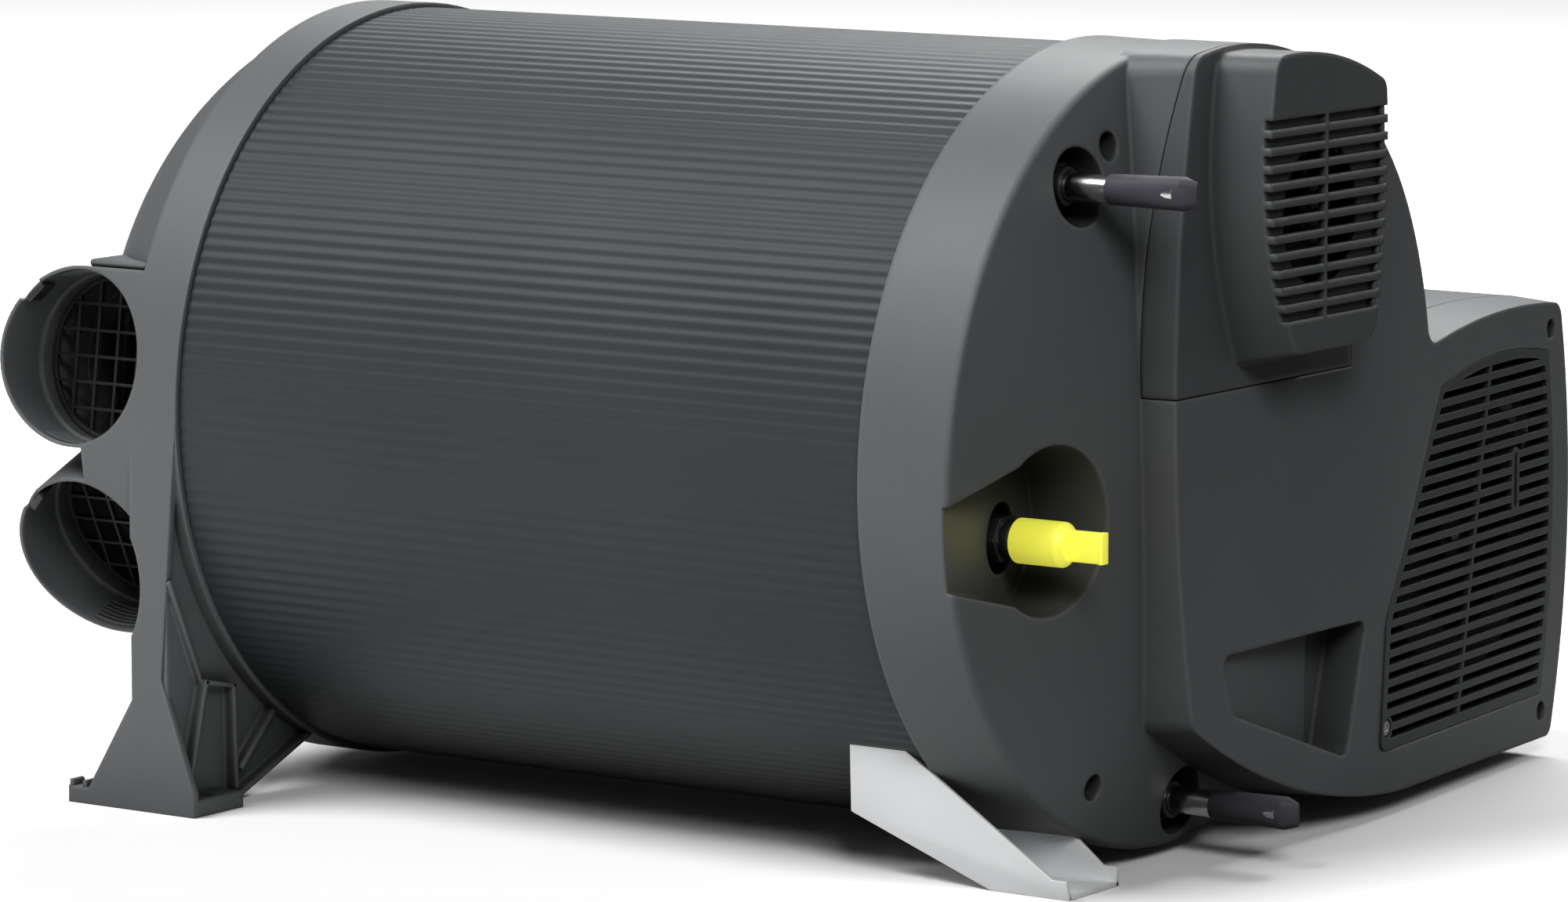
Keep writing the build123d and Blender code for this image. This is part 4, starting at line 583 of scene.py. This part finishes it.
def addRubberCap(look, name, node, y, z):
    length = look["end"] - look["start"]
    cap = addRound(drumPoint(look["start"] + length / 2, y, z), look["rootRadius"] * mm, length * mm,
                   points=look["points"], tip=look["headRadius"] * mm)
    frontX = drumPoint(look["end"], y, z).x
    rootX = drumPoint(look["start"], y, z).x
    openMesh(cap)
    pickFaces(cap, lambda middle, normal: middle.x > frontX - touch)
    extrudeBy((look["tip"] - look["end"]) * mm, 0, 0)
    bpy.ops.transform.resize(value=look["tipSquash"], center_override=drumPoint(look["tip"], y, z))
    pickFaces(cap, lambda middle, normal: middle.x < rootX + touch)
    bpy.ops.mesh.inset(thickness=(look["rootRadius"] - look["bore"]) * mm)
    extrudeBy(look["boreDepth"] * mm, 0, 0)
    flatX = drumPoint(look["flatStart"], y, z).x
    centre = drumPoint(0, y, z)
    for side in (-1, 1):                           # the two flats that fingers grip
        limit = centre.y + side * look["flatHalf"] * mm

        def beyond(point):
            return point.x > flatX and (point.y - limit) * side > 0

        bpy.ops.mesh.select_all(action="SELECT")
        bpy.ops.mesh.bisect(plane_co=(flatX, centre.y, centre.z), plane_no=(1, 0, 0))
        pickPoints(cap, beyond)
        bpy.ops.transform.resize(value=(1, 0, 1), center_override=(0, limit, 0))
    closeMesh()
    softenEdges(cap, look["edge"] * mm, segments=2, angle=35)
    return finishPiece(cap, name, "grey_rubber", body=node, angle=40, replaced=[node])


for capName, (node, y, z) in rubberCap["ends"].items():
    addRubberCap(rubberCap, capName, node, y, z)

yellowCap = {
    "start": 33.0, "shoulder": 52.4, "end": 55.0, "radius": 8.25, "tabEnd": 69.4,
    "tabHalfHeight": 5.7, "tabHalfWall": 0.95, "tipWall": 2.1, "tipLength": 2.6,
    "tabSunk": 2.5, "tipStep": 0.4, "tabEdge": 0.36, "y": -95.0, "z": -23.6, "bore": 4.3,
    "boreDepth": 16.0, "edge": 0.6, "points": 56, "endShare": 0.72,
}


def addYellowCap(look):
    y, z = look["y"], look["z"]
    length = look["shoulder"] - look["start"]
    body = addRound(drumPoint(look["start"] + length / 2, y, z), look["radius"] * mm, length * mm,
                    points=look["points"])
    frontX = drumPoint(look["shoulder"], y, z).x
    rootX = drumPoint(look["start"], y, z).x
    openMesh(body)
    pickFaces(body, lambda middle, normal: middle.x > frontX - touch)
    extrudeBy((look["end"] - look["shoulder"]) * mm, 0, 0)
    bpy.ops.transform.resize(value=(1, look["endShare"], look["endShare"]),
                             center_override=drumPoint(look["end"], y, z))
    pickFaces(body, lambda middle, normal: middle.x < rootX + touch)
    bpy.ops.mesh.inset(thickness=(look["radius"] - look["bore"]) * mm)
    extrudeBy(look["boreDepth"] * mm, 0, 0)
    closeMesh()
    softenEdges(body, look["edge"] * mm, segments=3, angle=25)
    half, wall, tip = look["tabHalfHeight"], look["tabHalfWall"], look["tipWall"]
    tipStart = look["tabEnd"] - look["tipLength"]
    tab = addBlock(drumPoint(look["end"] - look["tabSunk"], y - wall, z - half),
                   drumPoint(tipStart, y + wall, z + half))
    endX = drumPoint(tipStart, y, z).x
    openMesh(tab)
    pickFaces(tab, lambda middle, normal: middle.x > endX - touch)
    extrudeBy(look["tipLength"] * look["tipStep"] * mm, 0, 0)
    bpy.ops.transform.resize(value=(1, tip / wall, 1), center_override=drumPoint(look["tabEnd"], y, z))
    extrudeBy(look["tipLength"] * (1 - look["tipStep"]) * mm, 0, 0)
    closeMesh()
    softenEdges(tab, look["tabEdge"] * mm, segments=2, angle=30)
    cap = joinPieces([body, tab])
    return finishPiece(cap, "yellowCap", "yellow_plastic", body="gas_cap", angle=40, replaced=["gas_cap"])


addYellowCap(yellowCap)
print("caps set")


# Air end: divider, foot webs and hooks, and the outlets' grips, linings, latches, throats and shelves.

airDivider = {"x": -321.0, "reach": 76.0, "halfHeight": 128.0, "halfWall": 1.2, "inset": 4.0,
              "lip": 1.0, "edge": 0.5, "points": 96}


def addAirDivider(look):
    # The wall between the front and rear ducts, dark behind the grids.
    centre = drumPoint(look["x"], 0, 0)
    divider = addRound(centre, 1.0, look["halfWall"] * 2 * mm, points=look["points"],
                       lean=(math.pi / 2, 0, 0))
    openMesh(divider)
    bpy.ops.mesh.select_all(action="SELECT")
    bpy.ops.transform.resize(value=(look["reach"] * mm, 1, look["halfHeight"] * mm), center_override=centre)
    bpy.ops.mesh.bisect(plane_co=centre, plane_no=(1, 0, 0), use_fill=True, clear_outer=True)
    for side in (-1, 1):
        pickFaces(divider, lambda middle, normal: normal.y * side > facing)
        bpy.ops.mesh.inset(thickness=look["inset"] * mm)
        bpy.ops.mesh.inset(thickness=look["lip"] * mm, depth=-look["edge"] * mm)
    closeMesh()
    return finishPiece(divider, "airDivider", "black_plastic")


addAirDivider(airDivider)

footWeb = {
    "x0": -321.6, "x1": -319.2, "ringRadius": 149.0, "top": -14.0, "ringEnd": (-66.7, -133.4),
    "heel": (-110.5, -152.6), "toeY": -148.4, "steps": 22, "ribWall": 2.0, "ribSunk": 0.4, "edge": 0.4,
    "toeShare": 0.55, "heelPace": 1.25, "slideFrom": 0.8, "slideReach": 0.98,
    "ribs": [((-148.0, -64.0), (-129.9, -104.6), -317.0), ((-129.9, -104.6), (-113.4, -108.0), -314.4),
             ((-129.9, -104.6), (-141.5, -147.6), -314.4), ((-113.4, -108.0), (-112.4, -147.6), -314.4),
             ((-89.6, -122.0), (-109.0, -140.7), -314.4), ((-66.9, -133.6), (-110.6, -151.4), -314.4)],
}


def addRib(start, end, x0, x1, wall, side):
    # A straight rib from start to end, both given as y and z.
    deltaY, deltaZ = (end[0] - start[0]) * side, end[1] - start[1]
    middle = drumPoint((x0 + x1) / 2, (start[0] + end[0]) / 2 * side, (start[1] + end[1]) / 2)
    deselectAll()
    bpy.ops.mesh.primitive_cube_add(size=1, location=middle, rotation=(math.atan2(deltaZ, deltaY), 0, 0))
    rib = bpy.context.object
    rib.scale = (abs(x1 - x0) * mm, (math.hypot(deltaY, deltaZ) + wall) * mm, wall * mm)
    applyAll(rib)
    return rib


def addFootWeb(look, name, side):
    # Thin web between the foot's plate and the ring, with its stiffening ribs.
    first = math.asin(look["top"] / look["ringRadius"])
    last = math.atan2(look["ringEnd"][1], -look["ringEnd"][0])
    deselectAll()
    bpy.ops.mesh.primitive_grid_add(x_subdivisions=look["steps"], y_subdivisions=1, size=1)
    web = bpy.context.object
    openMesh(web)
    shape = bmesh.from_edit_mesh(web.data)
    heel = look["heel"]
    for point in shape.verts:
        share = point.co.x + 0.5
        turn = first + (last - first) * share
        ringPoint = (-math.cos(turn) * look["ringRadius"], math.sin(turn) * look["ringRadius"])
        if share < look["toeShare"]:
            outer = (look["toeY"], look["top"] + (heel[1] - look["top"]) * share / look["toeShare"])
        else:
            rest = (share - look["toeShare"]) / (1 - look["toeShare"])
            pace = min(1.0, rest * look["heelPace"])
            outer = (look["toeY"] + (heel[0] - look["toeY"]) * pace, heel[1])
            if rest > look["slideFrom"]:
                slide = (rest - look["slideFrom"]) / (1 - look["slideFrom"]) * look["slideReach"]
                outer = (heel[0] + (look["ringEnd"][0] - heel[0]) * slide,
                         heel[1] + (look["ringEnd"][1] - heel[1]) * slide)
        y, z = ringPoint if point.co.y > 0 else outer
        point.co = drumPoint(look["x0"], y * side, z)
    bmesh.update_edit_mesh(web.data)
    bpy.ops.mesh.select_all(action="SELECT")
    extrudeBy((look["x1"] - look["x0"]) * mm, 0, 0)
    closeMesh()
    parts = [web]
    for start, end, front in look["ribs"]:
        rib = addRib(start, end, look["x1"] - look["ribSunk"], front, look["ribWall"], side)
        softenEdges(rib, look["edge"] * mm, segments=2, angle=30)
        parts.append(rib)
    return finishPiece(joinPieces(parts), name, "housing_plastic")


addFootWeb(footWeb, "frontFootWeb", 1)
addFootWeb(footWeb, "rearFootWeb", -1)

ductPatch = {
    "x": -366.5, "radius": 33.45, "rise": 0.5, "reach": 131.0, "rings": 6, "ringLength": 1.7, "pitch": 2.1,
    "halfTurn": 17.0, "steps": 10, "turns": (-98.0, 96.0), "wall": 0.35,
    "mouths": {"upperFront": (7.7, -1), "lowerFront": (-24.2, -1),
               "upperRear": (7.7, 1), "lowerRear": (-24.2, 1)},
}


def mouthAxes(rise, side):
    # The way an outlet points, and the way that is up inside it.
    slope = math.radians(rise)
    axis = Vector((0, math.cos(slope) * side, math.sin(slope)))
    up = Vector((0, -math.sin(slope) * side, math.cos(slope)))
    return axis, up


def addDuctPatches(look, name, rise, side):
    # Curved bars inside the mouth: serrated bands that grip the duct, or one wide lining.
    axis, up = mouthAxes(rise, side)
    across = Vector((1, 0, 0))
    bars = []
    for turn in look["turns"]:
        for index in range(look["rings"]):
            low = math.radians(turn - look["halfTurn"])
            high = math.radians(turn + look["halfTurn"])
            start = look["reach"] + index * look["pitch"]
            deselectAll()
            bpy.ops.mesh.primitive_grid_add(x_subdivisions=look["steps"], y_subdivisions=2, size=1)
            bar = bpy.context.object
            openMesh(bar)
            shape = bmesh.from_edit_mesh(bar.data)
            for point in shape.verts:
                angle = low + (high - low) * (point.co.x + 0.5)
                lift = look["rise"] if abs(point.co.y) < 0.1 else 0.0
                radius = look["radius"] - lift
                reach = start + (point.co.y + 0.5) * look["ringLength"]
                place = across * math.cos(angle) * radius + up * math.sin(angle) * radius + axis * reach
                point.co = drumPoint(look["x"] + place.x, place.y, place.z)
            bmesh.update_edit_mesh(bar.data)
            closeMesh()
            wall = bar.modifiers.new("wall", "SOLIDIFY")
            wall.thickness = look["wall"] * mm
            wall.offset = 0
            applyModifiers(bar)
            bars.append(bar)
    return finishPiece(joinPieces(bars), name, "housing_plastic", angle=25)


for mouthName, (rise, side) in ductPatch["mouths"].items():
    addDuctPatches(ductPatch, mouthName + "Grip", rise, side)

mouthLining = {**ductPatch, "radius": 34.2, "rise": 0.0, "reach": 116.0, "rings": 1,
               "ringLength": 34.0, "halfTurn": 38.0, "steps": 30, "turns": (-25.0,), "wall": 0.9}

for mouthName in ("lowerFront", "lowerRear"):
    rise, side = ductPatch["mouths"][mouthName]
    addDuctPatches(mouthLining, mouthName + "Lining", rise, side)

latchTab = {
    "x": -366.5, "radius": 33.0, "reach": (139.0, 147.0), "halfWidth": 4.6, "wall": 1.5, "turn": 133.0,
    "edge": 0.4, "hookRise": 1.3, "hookFrom": 0.3,
}


def addLatchTab(look, name, rise, side):
    # Spring tab in the mouth that snaps over the duct's collar.
    axis, up = mouthAxes(rise, side)
    turn = math.radians(look["turn"])
    outward = Vector((math.cos(turn), 0, 0)) + up * math.sin(turn)
    across = axis.cross(outward)
    turnFrame = Matrix((across, outward, axis)).transposed().to_4x4()
    length = look["reach"][1] - look["reach"][0]
    deselectAll()
    bpy.ops.mesh.primitive_cube_add(size=1)
    tab = bpy.context.object
    tab.scale = (look["halfWidth"] * 2 * mm, look["wall"] * mm, length * mm)
    applyAll(tab)
    openMesh(tab)
    pickFaces(tab, lambda middle, normal: normal.y < -facing)
    bpy.ops.mesh.subdivide(number_cuts=1)
    pickPoints(tab, lambda point: point.y < 0 and point.z > length * look["hookFrom"] * mm)
    bpy.ops.transform.translate(value=(0, -look["hookRise"] * mm, 0))
    closeMesh()
    softenEdges(tab, look["edge"] * mm, segments=2, angle=40)
    centre = drumPoint(look["x"], 0, 0) + outward * (look["radius"] - look["wall"] / 2) * mm
    centre += axis * (sum(look["reach"]) / 2) * mm
    tab.matrix_world = Matrix.Translation(centre) @ turnFrame
    applyAll(tab)
    return finishPiece(tab, name, "black_plastic")


for mouthName, (rise, side) in ductPatch["mouths"].items():
    addLatchTab(latchTab, mouthName + "Latch", rise, side)

footHook = {"places": ((-368.3, -366.0), (-361.8, -359.6)), "y0": -149.0, "y1": -141.0, "low": -147.8,
            "rise": 3.0, "topShare": (0.6, 0.9, 1), "edge": 0.5}


def addFootHooks(look, name, side):
    # Small lips on the foot's base that hold the fixing screws' heads.
    hooks = []
    for x0, x1 in look["places"]:
        hook = addBlock(drumPoint(x0, look["y0"] * side, look["low"]),
                        drumPoint(x1, look["y1"] * side, look["low"] + look["rise"]))
        topZ = drumPoint(0, 0, look["low"] + look["rise"]).z
        openMesh(hook)
        pickFaces(hook, lambda middle, normal: middle.z > topZ - touch)
        bpy.ops.transform.resize(value=look["topShare"],
                                 center_override=drumPoint(x0, look["y0"] * side, look["low"]))
        closeMesh()
        softenEdges(hook, look["edge"] * mm, segments=2, angle=30)
        hooks.append(hook)
    return finishPiece(joinPieces(hooks), name, "housing_plastic")


addFootHooks(footHook, "frontFootHooks", 1)
addFootHooks(footHook, "rearFootHooks", -1)

outletShelf = {
    "x0": -366.0, "x1": -337.0, "y0": -136.5, "y1": -104.0, "low": 53.4, "high": 56.6, "edge": 1.6,
}


def addShelf(look, name, side):
    # Flat top of the upper mouth's housing, where it runs into the ring.
    shelf = addBlock(drumPoint(look["x0"], look["y0"] * side, look["low"]),
                     drumPoint(look["x1"], look["y1"] * side, look["high"]))
    softenEdges(shelf, look["edge"] * mm, segments=3, angle=40)
    return finishPiece(shelf, name, "housing_plastic", angle=30)


ductThroat = {"x": -366.5, "radius": 34.9, "bore": 32.45, "start": 76.0, "end": 100.0, "edge": 0.3,
              "points": 96}


def addDuctThroat(look, name, rise, side):
    # The duct's wall where it passes through the domed end.
    axis = mouthAxes(rise, side)[0]
    centre = drumPoint(look["x"], 0, 0) + axis * (look["start"] + look["end"]) / 2 * mm
    throat = addRound(centre, look["radius"] * mm, (look["end"] - look["start"]) * mm,
                      points=look["points"], lean=axis.to_track_quat("Z", "X").to_euler())
    openMesh(throat)
    pickFaces(throat, lambda middle, normal: abs(normal.dot(axis)) > facing)
    bpy.ops.mesh.inset(thickness=(look["radius"] - look["bore"]) * mm)
    bpy.ops.mesh.bridge_edge_loops()
    closeMesh()
    softenEdges(throat, look["edge"] * mm, segments=2, angle=40)
    return finishPiece(throat, name, "housing_plastic")


for mouthName, (rise, side) in ductPatch["mouths"].items():
    addDuctThroat(ductThroat, mouthName + "Throat", rise, side)

addShelf(outletShelf, "frontOutletShelf", 1)
addShelf(outletShelf, "rearOutletShelf", -1)
print("air end set")


# Connections: nuts, bracket, backing of the hood's slots and screw head.

wellNut = {
    "radius": 9.4, "length": 7.0, "sides": 6, "faceInset": 1.2, "faceRise": 0.6, "edge": 0.5,
    "collar": 7.2, "collarLength": 4.0, "bore": 5.15, "boreShare": 0.6, "collarEdge": 0.3, "points": 40,
    "places": {"hotWaterNut": (27.0, -71.4, 102.1), "coldWaterNut": (27.0, 4.1, -132.7),
               "gasNut": (21.0, -95.0, -23.6)},
}


def addNut(look, name, start, y, z):
    # Hexagon nut on its pipe, with a round collar in front of it.
    nut = addRound(drumPoint(start + look["length"] / 2, y, z), look["radius"] * mm, look["length"] * mm,
                   points=look["sides"])
    frontX = drumPoint(start + look["length"], y, z).x
    openMesh(nut)
    pickFaces(nut, lambda middle, normal: middle.x > frontX - touch)
    bpy.ops.mesh.inset(thickness=look["faceInset"] * mm)
    extrudeBy(look["faceRise"] * mm, 0, 0)
    closeMesh()
    softenEdges(nut, look["edge"] * mm, segments=2, angle=30)
    collar = addRound(drumPoint(start + look["length"] + look["collarLength"] / 2, y, z),
                      look["collar"] * mm, look["collarLength"] * mm, points=look["points"])
    collarX = drumPoint(start + look["length"] + look["collarLength"], y, z).x
    openMesh(collar)
    pickFaces(collar, lambda middle, normal: middle.x > collarX - touch)
    bpy.ops.mesh.inset(thickness=(look["collar"] - look["bore"]) * mm)
    extrudeBy(-look["collarLength"] * look["boreShare"] * mm, 0, 0)
    closeMesh()
    softenEdges(collar, look["collarEdge"] * mm, segments=2, angle=30)
    return finishPiece(joinPieces([nut, collar]), name, "black_plastic")


for nutName, (start, y, z) in wellNut["places"].items():
    addNut(wellNut, nutName, start, y, z)

bracketSheet = {
    "wall": 2.0, "edge": 0.35, "lean": {"y": -104.5, "z": -103.5, "slope": -0.2778},
    "front": [(-33.6, -102.0), (-10.7, -102.0), (46.0, -146.5), (52.2, -146.5), (52.2, -153.9),
              (18.6, -153.9), (-38.1, -129.7)],
    "rear": [(-20.0, -136.6), (33.4, -136.6), (46.0, -146.5), (52.2, -146.5), (52.2, -153.9),
             (18.6, -153.9)],
    "rearY": -58.5, "webY": -90.0,
    "web": [(-20.0, -137.2), (-19.2, -135.4), (19.0, -151.9), (52.2, -151.9), (52.2, -153.9),
            (18.6, -153.9)],
    "hole": {"place": (35.0, -73.1, -152.9), "radius": 2.6, "depth": 8.0, "points": 40},
}


def addSheet(outline, depth):
    # A flat plate with this outline, as thick as depth towards the rear.
    deselectAll()
    bpy.ops.mesh.primitive_circle_add(vertices=len(outline), fill_type="NGON")
    sheet = bpy.context.object
    openMesh(sheet)
    shape = bmesh.from_edit_mesh(sheet.data)
    for point, (x, y, z) in zip(shape.verts, outline):
        point.co = drumPoint(x, y, z)
    bmesh.update_edit_mesh(sheet.data)
    bpy.ops.mesh.select_all(action="SELECT")
    extrudeBy(0, depth * mm, 0)
    bpy.ops.mesh.select_all(action="SELECT")
    bpy.ops.mesh.normals_make_consistent(inside=False)
    closeMesh()
    return sheet


def addBracket(look):
    # Bent sheet: the front wall leans out to the drum, the web lies on the floor.
    lean, wall = look["lean"], look["wall"]
    front = addSheet([(x, lean["y"] + lean["slope"] * (z - lean["z"]), z) for x, z in look["front"]], wall)
    rear = addSheet([(x, look["rearY"], z) for x, z in look["rear"]], wall)
    web = addSheet([(x, look["webY"], z) for x, z in look["web"]], look["rearY"] + wall - look["webY"])
    hole = look["hole"]
    drill = addRound(drumPoint(*hole["place"]), hole["radius"] * mm, hole["depth"] * mm,
                     points=hole["points"], lean=(0, 0, 0))
    cut = web.modifiers.new("hole", "BOOLEAN")
    cut.operation = "DIFFERENCE"
    cut.object = drill
    applyModifiers(web)
    bpy.data.objects.remove(drill)
    for sheet in (front, rear, web):
        softenEdges(sheet, look["edge"] * mm, segments=2, angle=30)
    return finishPiece(joinPieces([front, rear, web]), "bentBracket", "bracket_aluminium",
                       replaced=["mounting_bracket"])


addBracket(bracketSheet)

slotBacking = {"ends": (124.6, 50.6), "steps": 24, "top": (64.0, 133.0), "mid": (65.3, 100.8),
               "foot": (57.0, 37.8), "outer": 1.0, "inner": 3.4, "x0": 88.1, "x1": 90.3, "edge": 0.2}


def addSlotBacking(look):
    # Strip behind the slots where they run out at the hood's rear edge.
    deselectAll()
    bpy.ops.mesh.primitive_grid_add(x_subdivisions=look["steps"], y_subdivisions=1, size=1)
    strip = bpy.context.object
    (y1, z1), (y2, z2), (y3, z3) = look["top"], look["mid"], look["foot"]
    openMesh(strip)
    shape = bmesh.from_edit_mesh(strip.data)
    for point in shape.verts:
        z = look["ends"][0] + (look["ends"][1] - look["ends"][0]) * (point.co.x + 0.5)
        edgeY = (y1 * (z - z2) * (z - z3) / ((z1 - z2) * (z1 - z3))
                 + y2 * (z - z1) * (z - z3) / ((z2 - z1) * (z2 - z3))
                 + y3 * (z - z1) * (z - z2) / ((z3 - z1) * (z3 - z2)))
        point.co = drumPoint(look["x0"], edgeY - (look["outer"] if point.co.y > 0 else look["inner"]), z)
    bmesh.update_edit_mesh(strip.data)
    bpy.ops.mesh.select_all(action="SELECT")
    extrudeBy((look["x1"] - look["x0"]) * mm, 0, 0)
    closeMesh()
    softenEdges(strip, look["edge"] * mm, segments=2, angle=40)
    return finishPiece(strip, "hoodSlotBacking", "cover_plastic")


addSlotBacking(slotBacking)

screwHead = {
    "headRadius": 3.1, "headHeight": 1.5, "recessRadius": 1.35, "recessDepth": 0.9, "lobes": 6,
    "lobeRise": 0.16, "spare": 0.1, "tilt": 2.7, "sunk": 1.6, "aside": 0.4, "edge": 0.35, "points": 48,
}


def addScrewHead(look):
    # Six-lobe screw head in the place of the record's own, square to the grille's slope.
    low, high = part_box("grille_screw")
    tilt = math.radians(look["tilt"])
    outward = Vector((math.cos(tilt), math.sin(tilt), 0))
    middle = Vector((high.x - look["sunk"] * mm, (low.y + high.y) / 2 + look["aside"] * mm,
                     (low.z + high.z) / 2))
    head = addRound(middle, look["headRadius"] * mm, look["headHeight"] * mm, points=look["points"],
                    lean=(0, math.pi / 2, tilt))
    openMesh(head)
    pickFaces(head, lambda place, normal: normal.dot(outward) > facing)
    bpy.ops.mesh.inset(thickness=(look["headRadius"] - look["recessRadius"]) * mm)
    front = middle + outward * look["headHeight"] / 2 * mm
    shape = bmesh.from_edit_mesh(head.data)
    for point in shape.verts:
        away = point.co - front
        if away.length < (look["recessRadius"] + look["spare"]) * mm:
            turn = math.atan2(away.z, away.y)
            point.co = front + away * (1 + look["lobeRise"] * math.cos(turn * look["lobes"]))
    bmesh.update_edit_mesh(head.data)
    extrudeBy(*(-outward * look["recessDepth"] * mm))
    closeMesh()
    softenEdges(head, look["edge"] * mm, segments=3, angle=60)
    return finishPiece(head, "grilleTorxScrew", "screw_steel", angle=30, replaced=["grille_screw"])


addScrewHead(screwHead)
print("connections set")
